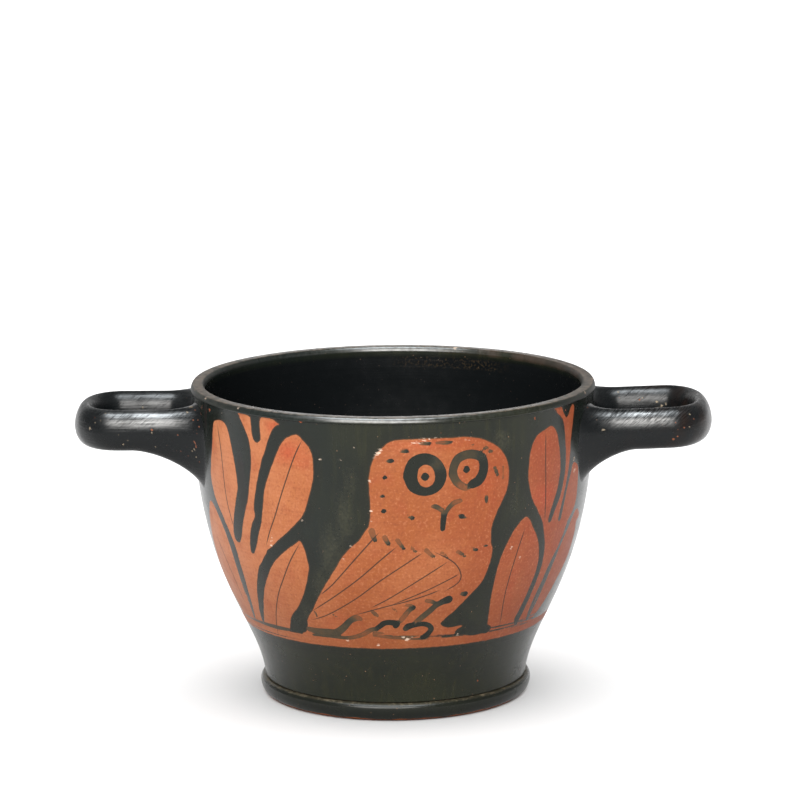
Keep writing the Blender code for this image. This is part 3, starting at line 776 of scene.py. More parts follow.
class Canvas:
    """One side of the wall as its painter works on it: distances in millimetres at each of its points."""

    def __init__(self, angle, height, squeeze, lean):
        outside = outer_wall() / MM
        step = np.hypot(*np.diff(outside, axis=0).T)
        middle_radius = (outside[1:, 0] + outside[:-1, 0]) / 2
        self.levels = outside[:, 1]
        self.climb = np.concatenate([[0], np.cumsum(PLANE_RADIUS * step / middle_radius)])
        x, y = self.place(np.stack([angle, height], 1)).T
        sway = lean * np.sin(y / LEAN_WAVES[0])
        self.points = np.stack([squeeze * x + sway, y + lean * np.cos(x / LEAN_WAVES[1])], 1)
        count = len(angle)
        self.reserve = np.full(count, -REACH)
        self.mark = np.full(count, -REACH)
        self.tone = np.zeros(count)
        self.lines = {}

    def place(self, spots):
        """Spots of angle and height, and what else they hold, moved to the painter's plane."""
        spots = np.array(spots, float)
        spots[:, 0] = np.radians(spots[:, 0]) * PLANE_RADIUS
        spots[:, 1] = np.interp(spots[:, 1], self.levels, self.climb)
        return spots

    def near(self, curve):
        """The canvas's points that lie within reach of a curve."""
        low = curve[:, :2].min(0) - REACH
        high = curve[:, :2].max(0) + REACH
        return np.nonzero(((self.points > low) & (self.points < high)).all(1))[0]

    @staticmethod
    def along(points, start, end):
        """Share along a straight line, the distance from it, and the side that a point lies on."""
        line = end[:2] - start[:2]
        offset = points - start[:2]
        share = np.clip(offset @ line / max(line @ line, 1e-9), 0, 1)
        distance = np.hypot(*(offset - share[:, None] * line).T)
        return share, distance, np.sign(line[0] * offset[:, 1] - line[1] * offset[:, 0])

    def leave_bare(self, outline):
        """Leaves a closed outline bare: the distance to its edge, more than nothing inside."""
        curve = smooth(self.place(outline), True)
        near = self.near(curve)
        points = self.points[near]
        distance = np.full(len(near), REACH)
        inside = np.zeros(len(near), bool)
        for a, b in zip(curve, np.roll(curve, -1, 0)):
            distance = np.minimum(distance, self.along(points, a, b)[1])
            if a[1] != b[1]:
                crossing = a[0] + (points[:, 1] - a[1]) * (b[0] - a[0]) / (b[1] - a[1])
                inside ^= ((a[1] > points[:, 1]) != (b[1] > points[:, 1])) & (points[:, 0] < crossing)
        self.reserve[near] = np.maximum(self.reserve[near], np.where(inside, distance, -distance))

    def brush(self, path):
        """How deep each near point lies within a stroke, and the stroke's tone there."""
        curve = smooth(self.place(path), False)
        near = self.near(curve)
        depth = np.full(len(near), -REACH)
        tone = np.zeros(len(near))
        for a, b in zip(curve, curve[1:]):
            share, distance, _ = self.along(self.points[near], a, b)
            here = a[2] + share * (b[2] - a[2]) - distance
            tone = np.where(here > depth, a[-1] + share * (b[-1] - a[-1]), tone)
            depth = np.maximum(depth, here)
        return near, depth, tone

    def part(self, path):
        """Paints a black stroke over what was left bare."""
        near, depth, _ = self.brush(path)
        self.reserve[near] = np.minimum(self.reserve[near], -depth)

    def touch(self, path):
        """Paints a mark on the clay."""
        near, depth, tone = self.brush(path)
        self.tone[near] = np.where(depth > self.mark[near], tone, self.tone[near])
        self.mark[near] = np.maximum(self.mark[near], depth)

    def draw(self, group, path):
        """Draws a fine line: its signed distance, its nearness, and its half width, which tapers."""
        if group not in self.lines:
            self.lines[group] = np.tile([REACH, 0.0, 0.0], (len(self.points), 1))
        curve = smooth(self.place(path), False)
        near = self.near(curve)
        best = np.full(len(near), REACH)
        signed = np.full(len(near), REACH)
        width = np.zeros(len(near))
        count = len(curve) - 1
        for k in range(count):
            share, distance, side = self.along(self.points[near], curve[k], curve[k + 1])
            nearer = distance < best
            part = (k + share) / count
            taper = np.clip(FINE_TAPER * np.minimum(part, 1 - part), 0, 1)
            best = np.where(nearer, distance, best)
            signed = np.where(nearer, side * distance, signed)
            width = np.where(nearer, FINE_HALF_WIDTH * taper, width)
        old = self.lines[group][near]
        closer = best < np.abs(old[:, 0])
        far, full = FINE_FADE
        new = np.stack([signed, np.clip((far - best) / (far - full), 0, 1), width], 1)
        self.lines[group][near] = np.where(closer[:, None], new, old)


def waving(level, wave, angle):
    """A level that waves round the wall: it, plus a reach times the sine of so many times the angle."""
    reach, times = wave
    return level + reach * np.sin(np.radians(angle) * times)


def paint(angle, height):
    """Both sides of the wall, painted: the front as listed, and the back mirrored with fewer marks."""
    behind = np.abs(angle) > 90
    found = {name: np.zeros(len(angle)) for name in ("reserve", "mark", "tone")}
    found.update({group: np.zeros((len(angle), 3)) for group in FINE_LINES})
    for side, squeeze, lean, every in ((~behind, 1.0, 0.0, 1), (behind, BACK_SQUEEZE, BACK_LEAN, 2)):
        across = angle[side]
        across = np.where(behind[side], np.sign(across) * 180 - across, across)
        canvas = Canvas(across, height[side], squeeze, lean)
        for outline in [OWL, *LEFT_SPRIG, *RIGHT_SPRIG]:
            canvas.leave_bare(outline)
        band = waving(BAND_TOP, BAND_TOP_WAVE, across) - height[side]
        canvas.reserve = np.maximum(canvas.reserve, band)
        for path in PARTING_STROKES:
            canvas.part(path)
        small = [path for marks in (SPECKLES, COLLAR, BELLY, GROUND) for path in marks[::every]]
        for path in FACE + TAIL_AND_FEET + small:
            canvas.touch(path)
        for group, paths in FINE_LINES.items():
            for path in paths[::every]:
                canvas.draw(group, path)
        for name in ("reserve", "mark", "tone"):
            found[name][side] = getattr(canvas, name)
        for group in FINE_LINES:
            found[group][side] = canvas.lines[group]
    above_foot = height - waving(BAND_FOOT, BAND_FOOT_WAVE, angle)
    found["reserve"] = np.minimum(found["reserve"], above_foot)
    return found


def soft_spots(spots, angle, height):
    """How strong soft spots are: each falls off as a bell from its middle, and the strongest shows."""
    strongest = np.zeros(len(angle))
    for at, level, half_width, half_height, strength in spots:
        away = ((angle - at) / half_width) ** 2 + ((height - level) / half_height) ** 2
        strongest = np.maximum(strongest, strength * np.exp(-away))
    return strongest


def chip_depth(points, spots):
    """How deep points lie in round chips: a chip's size less the distance to its middle, in millimetres."""
    depth = np.full(len(points), -REACH)
    for spot, size in spots:
        depth = np.maximum(depth, size - np.linalg.norm(points - spot, axis=1) / MM)
    return depth


def spot_on_wall(angle, radius, level):
    """A place in space from its angle from the front, its distance from the axis and its height."""
    turn = math.radians(angle)
    return np.array([radius * math.sin(turn), -radius * math.cos(turn), level])


def seen_spot(points, x, level, arm, half_spread):
    """The point of a loop handle that is seen from the front at a place, on its near or its far arm."""
    y = points[:, 1]
    facing = y < -half_spread if arm == "near" else (y > 0) & (y < half_spread)
    away = np.hypot(points[:, 0] / MM - x, points[:, 2] / MM - level)
    return points[np.argmin(np.where(facing, away, np.inf))]


def store(piece, name, values):
    """Keeps a number or three numbers for each point of a piece."""
    kind, key = ("FLOAT", "value") if values.ndim == 1 else ("FLOAT_VECTOR", "vector")
    attribute = piece.data.attributes.new(name, kind, "POINT")
    attribute.data.foreach_set(key, values.astype(np.float32).ravel())


class Field:
    """A number, colour or vector that varies over a surface. Arithmetic on it adds Math nodes."""

    def __init__(self, finish, socket):
        self.finish = finish
        self.socket = socket

    def __add__(self, other):
        return self.finish.math("ADD", self, other)

    def __radd__(self, other):
        return self.finish.math("ADD", other, self)

    def __sub__(self, other):
        return self.finish.math("SUBTRACT", self, other)

    def __rsub__(self, other):
        return self.finish.math("SUBTRACT", other, self)

    def __mul__(self, other):
        return self.finish.math("MULTIPLY", self, other)

    def __rmul__(self, other):
        return self.finish.math("MULTIPLY", other, self)

    def __pow__(self, other):
        return self.finish.math("POWER", self, other)

    def __abs__(self):
        return self.finish.math("ABSOLUTE", self)

    def least(self, other):
        """The smaller of two numbers."""
        return self.finish.math("MINIMUM", self, other)

    def most(self, other):
        """The larger of two numbers."""
        return self.finish.math("MAXIMUM", self, other)

    def ramp(self, low, high):
        """Nothing at a low value, rising in a straight line to one at a high value."""
        values = {"Value": self, "From Min": low, "From Max": high}
        return self.finish.node("ShaderNodeMapRange", {"clamp": True}, values)


class Finish:
    """A material in the making: one method adds any node, and the rest name the usual ones."""

    def __init__(self, name):
        self.material = bpy.data.materials.new(name)
        self.material.use_nodes = True
        self.tree = self.material.node_tree
        self.shader = self.tree.nodes["Principled BSDF"]
        self.place = self.node("ShaderNodeTexCoord", output="Object")

    def node(self, kind, settings=None, values=None, output=0):
        """Adds a node: its settings, such as an operation or a ramp's stops, then its sockets."""
        made = self.tree.nodes.new(kind)
        for name, value in (settings or {}).items():
            if name == "stops":
                self.set_stops(made.color_ramp, value)
            else:
                setattr(made, name, value)
        for socket, value in (values or {}).items():
            self.feed(made.inputs[socket], value)
        return Field(self, made.outputs[output])

    def feed(self, socket, value):
        """Links a field to a socket, or sets the socket's own value."""
        if isinstance(value, Field):
            self.tree.links.new(value.socket, socket)
        else:
            socket.default_value = value

    @staticmethod
    def set_stops(ramp, stops):
        """Gives a colour ramp its stops, as places and colours."""
        while len(ramp.elements) < len(stops):
            ramp.elements.new(1.0)
        for element, (position, colour) in zip(ramp.elements, stops):
            element.position = position
            element.color = (*colour, 1.0)

    def math(self, operation, *values):
        """One Math node on numbers or fields."""
        return self.node("ShaderNodeMath", {"operation": operation}, dict(enumerate(values)))

    def noise(self, size, detail=2.0, stretch=(1, 1, 1), turn=(0, 0, 0)):
        """Cloudy noise whose clouds measure about size metres, drawn out along some axes, and turned."""
        settings = {"vector_type": "TEXTURE"}
        scale = tuple(size * s for s in stretch)
        places = {"Vector": self.place, "Rotation": turn, "Scale": scale}
        vector = self.node("ShaderNodeMapping", settings, places)
        values = {"Vector": vector, "Scale": 1.0, "Detail": detail, "Roughness": 0.5}
        return self.node("ShaderNodeTexNoise", {}, values)

    def attribute(self, name, output="Fac"):
        """What a piece keeps at its points under a name."""
        return self.node("ShaderNodeAttribute", {"attribute_name": name}, output=output)

    def parts(self, vector):
        """The three numbers of a vector."""
        split = self.node("ShaderNodeSeparateXYZ", {}, {"Vector": vector}).socket.node
        return [Field(self, socket) for socket in split.outputs]

    def mix(self, share, first, second):
        """Two colours mixed where one is a tuple or the first a field of colours, and else two numbers."""
        if isinstance(first, tuple) or isinstance(second, tuple) or self.coloured(first):
            first, second = ((*c, 1.0) if isinstance(c, tuple) else c for c in (first, second))
            return self.node("ShaderNodeMix", {"data_type": "RGBA"}, {0: share, 6: first, 7: second}, 2)
        return self.node("ShaderNodeMix", {"data_type": "FLOAT"}, {0: share, 2: first, 3: second})

    @staticmethod
    def coloured(value):
        """Whether a value is a field of colours."""
        return isinstance(value, Field) and value.socket.type == "RGBA"

    def layers(self, colour, *layers):
        """A colour under others, from the lowest up: each one's share and its parts on a screen."""
        for share, parts in layers:
            colour = self.mix(share, colour, linear(*parts))
        return colour

    def finish(self, colour, roughness, relief, polish, depth=RELIEF_DEPTH, ior=SURFACE_IOR):
        """Feeds the shader: colour, roughness, relief, polish, and the relief's full depth in metres."""
        bump = self.node("ShaderNodeBump", {}, {"Strength": 1.0, "Distance": depth, "Height": relief})
        self.feed(self.shader.inputs["Base Color"], colour)
        self.feed(self.shader.inputs["Roughness"], roughness)
        self.feed(self.shader.inputs["Normal"], bump)
        self.feed(self.shader.inputs["Coat Weight"], polish)
        self.shader.inputs["Coat IOR"].default_value = POLISH_IOR
        self.shader.inputs["Coat Roughness"].default_value = POLISH_ROUGHNESS
        self.shader.inputs["IOR"].default_value = ior
        return self.material


def black_gloss(finish, looks, thin, deep):
    """Black slip, clouded olive, and cooler by its share of deep black: its colour, roughness and relief.

    It is burnt maroon where thin is more than nothing, and scuffed paler where it is less.
    """
    clouds = finish.noise(0.012, 4)
    streaks = finish.noise(0.0012, 3, stretch=(1, 1, 14))
    colour = finish.mix(clouds.ramp(0.35, 0.7), tuple(looks.black), linear(24, 26, 13))
    colour = finish.layers(colour, (streaks.ramp(0.5, 0.72) * 0.5, (34, 34, 16)))
    colour = finish.mix(deep, colour, tuple(looks.deep_black))
    burnt = (thin * (0.6 + 0.8 * finish.noise(0.0022, 3))).ramp(0.15, 0.6)
    scuffed = (thin * (finish.noise(0.0007, 4) - 0.1)).ramp(-0.08, -0.5)
    specks = finish.noise(0.0006, 1).ramp(0.775, 0.79)
    colour = finish.layers(
        colour,
        (burnt, (38, 18, 14)),
        (scuffed * 0.5, (76, 73, 54)),
        (specks * (0.6 - 0.5 * deep), (150, 112, 84)),
    )
    wear = finish.noise(0.003, 4)
    roughness = looks.gloss_roughness + 0.16 * (wear - 0.5) + 0.25 * specks + 0.08 * burnt
    wheel = 0.6 * finish.noise(0.0011, 3, stretch=(40, 40, 1))
    fine_wheel = 0.16 * finish.noise(0.0004, 2, stretch=(60, 60, 1))
    relief = wheel + fine_wheel + 0.24 * finish.noise(0.0022, 3)
    return colour, roughness, relief


def bare_clay(finish, looks, flush):
    """Fired clay: paler to the left with a painted sheen, redder to the right and where it flushed, grainy
    and rough, with painted shade lower down.
    """
    across, _, level = finish.parts(finish.place)
    clouds = finish.noise(0.014, 3)
    blotches = finish.noise(0.0045, 4)
    grain = finish.noise(0.0006, 3)
    wheel = finish.noise(0.0007, 2, stretch=(30, 30, 1))
    brushed = finish.noise(0.0016, 3, stretch=(1, 1, 9), turn=(0, 0.25, 0))
    # Paler towards the left: a painted sheen, lighter where the light falls on that side
    paler = across.ramp(-0.012, -0.042)
    redder = across.ramp(0.008, 0.036)
    colour = finish.mix(paler, tuple(looks.clay), tuple(looks.pale_clay_and_sheen))
    colour = finish.mix(redder * 0.85, colour, tuple(looks.red_clay))
    colour = finish.mix(clouds.ramp(0.45, 0.75) * (0.45 - 0.3 * redder), colour, tuple(looks.pale_clay_and_sheen))
    colour = finish.layers(
        colour,
        (brushed.ramp(0.45, 0.7) * 0.22, (140, 78, 30)),
        (blotches.ramp(0.5, 0.72) * 0.35, (124, 52, 26)),
        ((flush * (0.5 + blotches)).ramp(0.1, 0.9) * 0.8, (146, 58, 32)),
        (wheel.ramp(0.5, 0.75) * 0.25, (108, 50, 22)),
        (grain.ramp(0.54, 0.72) * 0.4, (96, 42, 20)),
        (grain.ramp(0.44, 0.28) * 0.35, (172, 112, 78)),
        # Darker towards the bottom of the wall: painted shade
        (level.ramp(0.045, 0.020) * 0.3, (96, 46, 20)),
    )
    roughness = 0.5 + 0.2 * (blotches - 0.5)
    relief = 0.4 * grain + 0.3 * blotches + 0.4 * wheel
    return colour, roughness, relief


def marked_clay(finish, looks, marks, wobble, black_roughness):
    """Bare clay with the picture's washes and fine lines on it: its colour, roughness and relief.

    The marks are their depth, their tone and the clay's flush, and the wobble roughens their edges.
    """
    depth, tone, flush = marks
    colour, roughness, relief = bare_clay(finish, looks, flush)
    depth = depth + wobble * 0.5
    stroke = depth.ramp(-0.04, 0.06)
    tide = depth.ramp(0.3, 0.0) * tone * (1 - tone)
    tone = tone + 1.2 * (1 - tone) * tone * (finish.noise(0.0016, 3) - 0.5) + 0.5 * tide
    washes = [
        (0.0, linear(116, 62, 30)),
        (0.3, linear(88, 52, 26)),
        (0.55, linear(58, 46, 28)),
        (0.8, linear(30, 31, 22)),
        (0.95, tuple(looks.black)),
    ]
    wash = finish.node("ShaderNodeValToRGB", {"stops": washes}, {"Fac": tone})
    colour = finish.mix(stroke * tone.ramp(0.0, 0.5).most(0.75), colour, wash)
    roughness = finish.mix(stroke * tone.ramp(0.3, 0.9), roughness, black_roughness)
    for group in FINE_LINES:
        signed, nearness, half_width = finish.parts(finish.attribute(group, "Vector"))
        line = (half_width - abs(signed)).ramp(-0.05, 0.05) * nearness.ramp(0.45, 0.5)
        colour = finish.layers(colour, (line * 0.9, (38, 26, 17)))
    return colour, roughness, relief


def underside_clay(x, y, z):
    """The share of bare clay under the floor, where a radius is the root of x squared plus y squared."""
    radius = (x * x + y * y) ** 0.5
    off_ring = abs(radius - UNDERSIDE_RING) - UNDERSIDE_RING_HALF_WIDTH
    clay = off_ring.least(radius - UNDERSIDE_DOT).least(UNDERSIDE_CLAY - radius)
    return (BASE_LEVEL + 0.0001 - z).ramp(0, 0.00002) * clay.ramp(0, 0.0001)


def painted_finish(looks):
    """The bowl's finish: black gloss, and clay where the picture leaves it bare, chipped, dusty and worn."""
    finish = Finish("painted_gloss")
    x, y, z = finish.parts(finish.place)
    wobble = (finish.noise(0.0022, 2) - 0.5) * 0.35 + (finish.noise(0.0007, 1) - 0.5) * 0.12
    reserve = finish.attribute("reserve") + wobble
    marks = finish.parts(finish.attribute("marks", "Vector"))
    clay_share = reserve.ramp(-0.03, 0.03)
    inside = reserve.ramp(-4, -5) * z.ramp(0.0806, 0.0790)
    black, black_roughness, black_relief = black_gloss(finish, looks, marks[2], inside)
    cool = x.ramp(-0.006, -0.026).most(x.ramp(0.036, 0.046)) * z.ramp(0.025, 0.045) * (1 - inside)
    black = finish.mix(cool * 0.75, black, tuple(looks.cool_black))
    contour = reserve.ramp(-2.6, -2.2) * (1 - clay_share)
    edge = reserve.ramp(-0.35, -0.02) * (1 - clay_share)
    black = finish.layers(black, (contour * 0.4, (16, 17, 10)), (edge * 0.55, (86, 52, 30)))
    clay, clay_roughness, clay_relief = marked_clay(finish, looks, marks, wobble, black_roughness)
    clay_share = clay_share.most(underside_clay(x, y, z))
    colour = finish.mix(clay_share, black, clay)
    roughness = finish.mix(clay_share, black_roughness, clay_roughness)
    relief = finish.mix(clay_share, black_relief * 0.5 + 0.35, clay_relief)

    chip = (finish.attribute("chips") + (finish.noise(0.0009, 3) - 0.5) * 1.5).ramp(-0.05, 0.1)
    streaky = finish.noise(0.0005, 4, stretch=(3, 3, 1), turn=(0, 0.15, 0))
    dust = (finish.attribute("dust") + (streaky - 0.5) * 2.4).ramp(-0.1, 0.35)
    worn = z.ramp(0.0804, 0.0808) * abs(x).ramp(0.034, 0.049)
    rubbed = z.ramp(0.08180, 0.08196) * finish.noise(0.0016, 4).ramp(0.35, 0.6)
    browned = z.ramp(0.0800, 0.0806) * x.ramp(0.010, 0.030) * y.ramp(-0.015, 0.010)
    stain = z.ramp(0.0760, 0.0770) * z.ramp(0.0800, 0.0790) * y.ramp(0.034, 0.042) * x.ramp(-0.002, 0.006)
    stain = inside * stain * x.ramp(0.034, 0.026) * finish.noise(0.0006, 4).ramp(0.52, 0.7)
    colour = finish.layers(
        colour,
        (chip * 0.85, (150, 72, 36)),
        (dust * 0.75, (206, 182, 162)),
        (worn * finish.noise(0.0012, 4).ramp(0.3, 0.7) * 0.5, (52, 49, 44)),
        (rubbed * 0.4, (128, 112, 98)),
        (browned * finish.noise(0.004, 4).ramp(0.3, 0.6) * 0.7, (58, 46, 38)),
        (stain * 0.32, (78, 62, 40)),
    )
    roughness = finish.mix(chip.most(dust), roughness, 0.8) + 0.25 * worn
    wheel_marks = finish.noise(0.0005, 3, stretch=(40, 40, 1)) + 0.5 * finish.noise(0.0011, 3)
    lip_polish = 0.7 * z.ramp(0.0806, 0.0810) * abs(x).ramp(0.044, 0.024) * wheel_marks.ramp(0.5, 0.95)
    polish = lip_polish * (1 - chip.most(dust))
    return finish.finish(colour, roughness, relief - 0.7 * chip + 0.3 * dust, polish)


def foot_finish(looks):
    """The foot's finish: black gloss, a bare tread and a worn lower edge, and dust and a painted highlight in
    the groove.
    """
    finish = Finish("foot_gloss")
    z = finish.parts(finish.place)[2]
    black, black_roughness, black_relief = black_gloss(finish, looks, 0.0, 0.5)
    clay, clay_roughness, clay_relief = bare_clay(finish, looks, 0.0)
    uneven_level = z + (finish.noise(0.006, 4) - 0.5) * 0.0016
    bare = 1 - uneven_level.ramp(0.00045, 0.00060)
    groove = z.ramp(FOOT_HEIGHT - 0.0005, FOOT_HEIGHT - 0.0001)
    # A faint pale line all round the groove is a painted highlight, and the specks over it are dust
    dust = groove * (0.2 + finish.noise(0.0008, 5).ramp(0.5, 0.68))
    colour = finish.layers(finish.mix(bare, black, clay), (dust * 0.5, (116, 104, 84)))
    roughness = finish.mix(dust, finish.mix(bare, black_roughness, clay_roughness), 0.6)
    return finish.finish(colour, roughness, finish.mix(bare, black_relief, clay_relief), 0.0)


def handle_finish(looks):
    """The handles' finish: deep black, scratched polish on top, brown out on the right, chipped and dusty."""
    finish = Finish("handle_gloss")
    x, y, z = finish.parts(finish.place)
    colour, roughness, relief = black_gloss(finish, looks, 0.0, 1.0)
    brown = x.ramp(0.058, 0.076) * finish.noise(0.005, 4).ramp(0.4, 0.7)
    chip = (finish.attribute("chips") + (finish.noise(0.0007, 2) - 0.5) * 0.7).ramp(-0.05, 0.1)
    dust = (finish.attribute("dust") + (finish.noise(0.0005, 4) - 0.5) * 1.4).ramp(-0.1, 0.25)
    colour = finish.layers(
        colour,
        (brown * 0.7, (30, 19, 14)),
        (chip * 0.75, (128, 74, 48)),
        (dust * 0.7, (150, 134, 112)),
    )
    roughness = finish.mix(chip.most(dust), roughness + 0.03, 0.75)
    right = x.ramp(-0.01, 0.01)
    along = finish.noise(0.0005, 4, stretch=(16, 6, 1))
    hatch = finish.noise(0.00022, 2, stretch=(1, 9, 11), turn=(0, 0.9, 0))
    uneven = finish.noise(0.009, 1)
    relief = relief * 0.3 + 0.6 * finish.mix(right, along, 0.5 * along + 0.3 * hatch) + 3 * uneven
    relief = relief - 0.4 * chip + 0.15 * dust
    scratches = finish.mix(right, 0.5 * along + 0.5 * hatch, 0.25 * along + 0.75 * hatch)
    out = abs(x)
    polish = z.ramp(0.0718, 0.0758) * out.ramp(0.048, 0.062) * out.ramp(0.079, 0.064)
    polish = polish * (0.3 + 0.7 * y.ramp(0.004, -0.004)) * (1 - chip.most(dust))
    polish = polish * (scratches + 0.3 * (uneven - 0.5)).ramp(0.40, 0.58)
    return finish.finish(colour, roughness, relief, polish, HANDLE_RELIEF_DEPTH, HANDLE_IOR)


def colour_setting(name, description, default):
    """A colour that a user may change."""
    return FloatVectorProperty(
        name=name, description=description, subtype="COLOR", size=3, min=0, max=1, default=default
    )


class CupLooks(bpy.types.PropertyGroup):
    """Colours and settings of the cup and its stage."""

    clay: colour_setting("Clay", "Colour of the bare clay", linear(128, 66, 30))
    # Pale clay is also the colour of the sheen painted on the clay's left side
    pale_clay_and_sheen: colour_setting(
        "Pale clay", "Colour of the bare clay where it is paler", linear(160, 98, 62)
    )
    red_clay: colour_setting(
        "Red clay", "Colour of the bare clay where it was fired redder", linear(127, 54, 25)
    )
    black: colour_setting("Black", "Colour of the black slip", linear(15, 18, 10))
    cool_black: colour_setting(
        "Cool black", "Colour of the black slip towards the wall's sides", linear(14, 20, 19)
    )
    deep_black: colour_setting(
        "Deep black",
        "Colour of the black slip on the handles and inside, and by half on the foot",
        linear(11, 13, 14),
    )
    gloss_roughness: FloatProperty(
        name="Gloss roughness",
        description="Roughness of the black slip",
        subtype="FACTOR",
        min=0,
        max=1,
        default=0.25,
    )
    floor: colour_setting("Floor", "Colour of the plain floor", (0.58, 0.58, 0.58))
    floor_size: FloatProperty(
        name="Floor size",
        description="Side of the square floor, which stands up behind to half as much",
        unit="LENGTH",
        min=1,
        default=12.0,
    )
    surroundings: FloatProperty(
        name="Surroundings",
        description="Brightness of the white surroundings",
        min=0,
        default=0.35,
    )
    light: FloatProperty(
        name="Light",
        description="Brightness of the soft lights, next to a white screen's",
        min=0,
        default=11.0,
    )
    overhead: FloatProperty(
        name="Overhead light",
        description="Strength of the wide light over the floor",
        min=0,
        default=7.5,
    )
    camera_distance: FloatProperty(
        name="Camera distance",
        description="Distance from the camera to the point that it looks at",
        unit="LENGTH",
        min=0.2,
        default=1.011,
    )
    camera_tilt: FloatProperty(
        name="Camera tilt",
        description="Angle by which the camera looks down",
        subtype="ANGLE",
        default=math.radians(10.87),
    )
    camera_roll: FloatProperty(
        name="Camera roll",
        description="Turn of the picture against the clock",
        subtype="ANGLE",
        default=math.radians(0.508),
    )
    camera_lens: FloatProperty(
        name="Lens",
        description="Focal length, on a sensor 36 mm wide",
        min=20,
        default=175.4,
    )


def cup_pieces():
    """The collection of the cup's pieces, which tells the rows of lights what they light."""
    return bpy.data.collections.get(CUP_PIECES) or bpy.data.collections.new(CUP_PIECES)


def dress(piece, material, slot, *nodes):
    """Gives a piece its finish, and lets it ride on the cup in place of the solids that it stands for."""
    piece.data.materials.append(material)
    cup_pieces().objects.link(piece)
    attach(piece, "root")
    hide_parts(*nodes)


def paint_wall(piece, points, on_wall):
    """Keeps the picture at a bowl's points: the distance into what is bare, its marks and its fine lines.

    The third number of the marks is the flush on bare clay. On black it is how thin the slip is, less its
    scuffs.
    """
    angle = np.degrees(np.arctan2(points[on_wall, 0], -points[on_wall, 1]))
    height = points[on_wall, 2] / MM
    painted = paint(angle, height)
    thin = soft_spots(THIN_SLIP, angle, height) - soft_spots(SCUFFS, angle, height)
    third = np.where(painted["reserve"] > 0, soft_spots(FLUSHES, angle, height), thin)
    marks = np.stack([painted["mark"], painted["tone"], third], 1)
    kept = {
        "reserve": (-2 * REACH, np.maximum(painted["reserve"], -REACH)),
        "marks": ((-REACH, 0.0, 0.0), marks),
        **{group: ((REACH, 0.0, 0.0), painted[group]) for group in FINE_LINES},
    }
    for name, (elsewhere, on_it) in kept.items():
        values = np.empty((len(points), *on_it.shape[1:]))
        values[:] = elsewhere
        values[on_wall] = on_it
        store(piece, name, values)


def scatter_spots(piece, points, over_lip):
    """Keeps how deep a bowl's points lie in its chips and dust, on the wall and along the lip's rows."""
    outside = outer_wall()
    run = np.concatenate([[0], np.cumsum(np.hypot(*np.diff(over_lip, axis=0).T))]) / MM
    lip_dust = [
        (spot_on_wall(angle, *(np.interp(at, run, row) for row in over_lip.T)), size)
        for angle, at, size in LIP_DUST
    ]
    for name, listed, more in (("chips", CHIPS, []), ("dust", DUST, lip_dust)):
        spots = [
            (spot_on_wall(angle, np.interp(height * MM, outside[:, 1], outside[:, 0]), height * MM), size)
            for angle, height, size in listed
        ]
        store(piece, name, chip_depth(points, spots + more))


class CUP_OT_bowl(bpy.types.Operator):
    """Throws the bowl and paints its picture"""

    bl_idname = "cup.bowl"
    bl_label = "Painted bowl"

    def execute(self, context):
        profile = bowl_profile()
        grid = turned(profile, TURN_STEPS)
        wall_first = UNDERSIDE_ROWS - 1
        wall_last = wall_first + WALL_ROWS - 1
        bands = (
            (-1, wall_first, INSIDE_SHARE, 1.0, 1),
            (wall_first, wall_last, 0.0, WALL_SHARE, 2),
            (wall_last, len(profile), WALL_SHARE, INSIDE_SHARE, 1),
        )
        poles = ((0.0, 0.0, BASE_LEVEL), (0.0, 0.0, FLOOR_LEVEL))
        piece = surface("bowl_thrown", grid, poles, bands=bands)
        points = np.vstack([grid.reshape(-1, 3), poles])
        on_wall = np.zeros(len(points), bool)
        on_wall[wall_first * TURN_STEPS : (wall_last + 1) * TURN_STEPS] = True
        paint_wall(piece, points, on_wall)
        scatter_spots(piece, points, profile[wall_last:])
        dress(piece, painted_finish(context.scene.cup_looks), "painted_gloss", "bowl")
        return {"FINISHED"}


class CUP_OT_foot(bpy.types.Operator):
    """Throws the foot ring"""

    bl_idname = "cup.foot"
    bl_label = "Foot ring"

    def execute(self, context):
        grid = turned(foot_profile(), FOOT_TURN_STEPS)
        piece = surface("foot_ring", grid, closed=True, bands=((0, len(grid), 0.0, 1.0, 4),))
        dress(piece, foot_finish(context.scene.cup_looks), "foot_gloss", "foot")
        return {"FINISHED"}


class CUP_OT_handles(bpy.types.Operator):
    """Rolls the two loop handles and lutes them under the lip"""

    bl_idname = "cup.handles"
    bl_label = "Loop handles"

    def execute(self, context):
        material = handle_finish(context.scene.cup_looks)
        for side, values in HANDLES.items():
            grid = loop_handle(values)
            poles = (grid[0].mean(0), grid[-1].mean(0))
            bands = ((-1, len(grid), 0.0, 1.0, 2),)
            piece = surface("handle_loop_" + side, grid, poles, bands=bands)
            points = np.vstack([grid.reshape(-1, 3), poles])
            for name, listed in (("chips", HANDLE_CHIPS), ("dust", HANDLE_DUST)):
                spots = [
                    (seen_spot(points, x, z, arm, values["half_spread"]), size * HANDLE_SPOT_SCALE)
                    for arm, seen in listed[side].items()
                    for x, z, size in seen
                ]
                store(piece, name, chip_depth(points, spots))
            dress(piece, material, "handle_gloss", "handle_" + side)
        return {"FINISHED"}


def wide_sun(name, breadth, strength, lit):
    """A wide soft light that comes from far away and lights one collection alone."""
    light = bpy.data.lights.new(name, "SUN")
    light.angle = breadth
    light.energy = strength
    source = bpy.data.objects.new(name, light)
    source.light_linking.receiver_collection = lit
    bpy.context.scene.collection.objects.link(source)
    return source


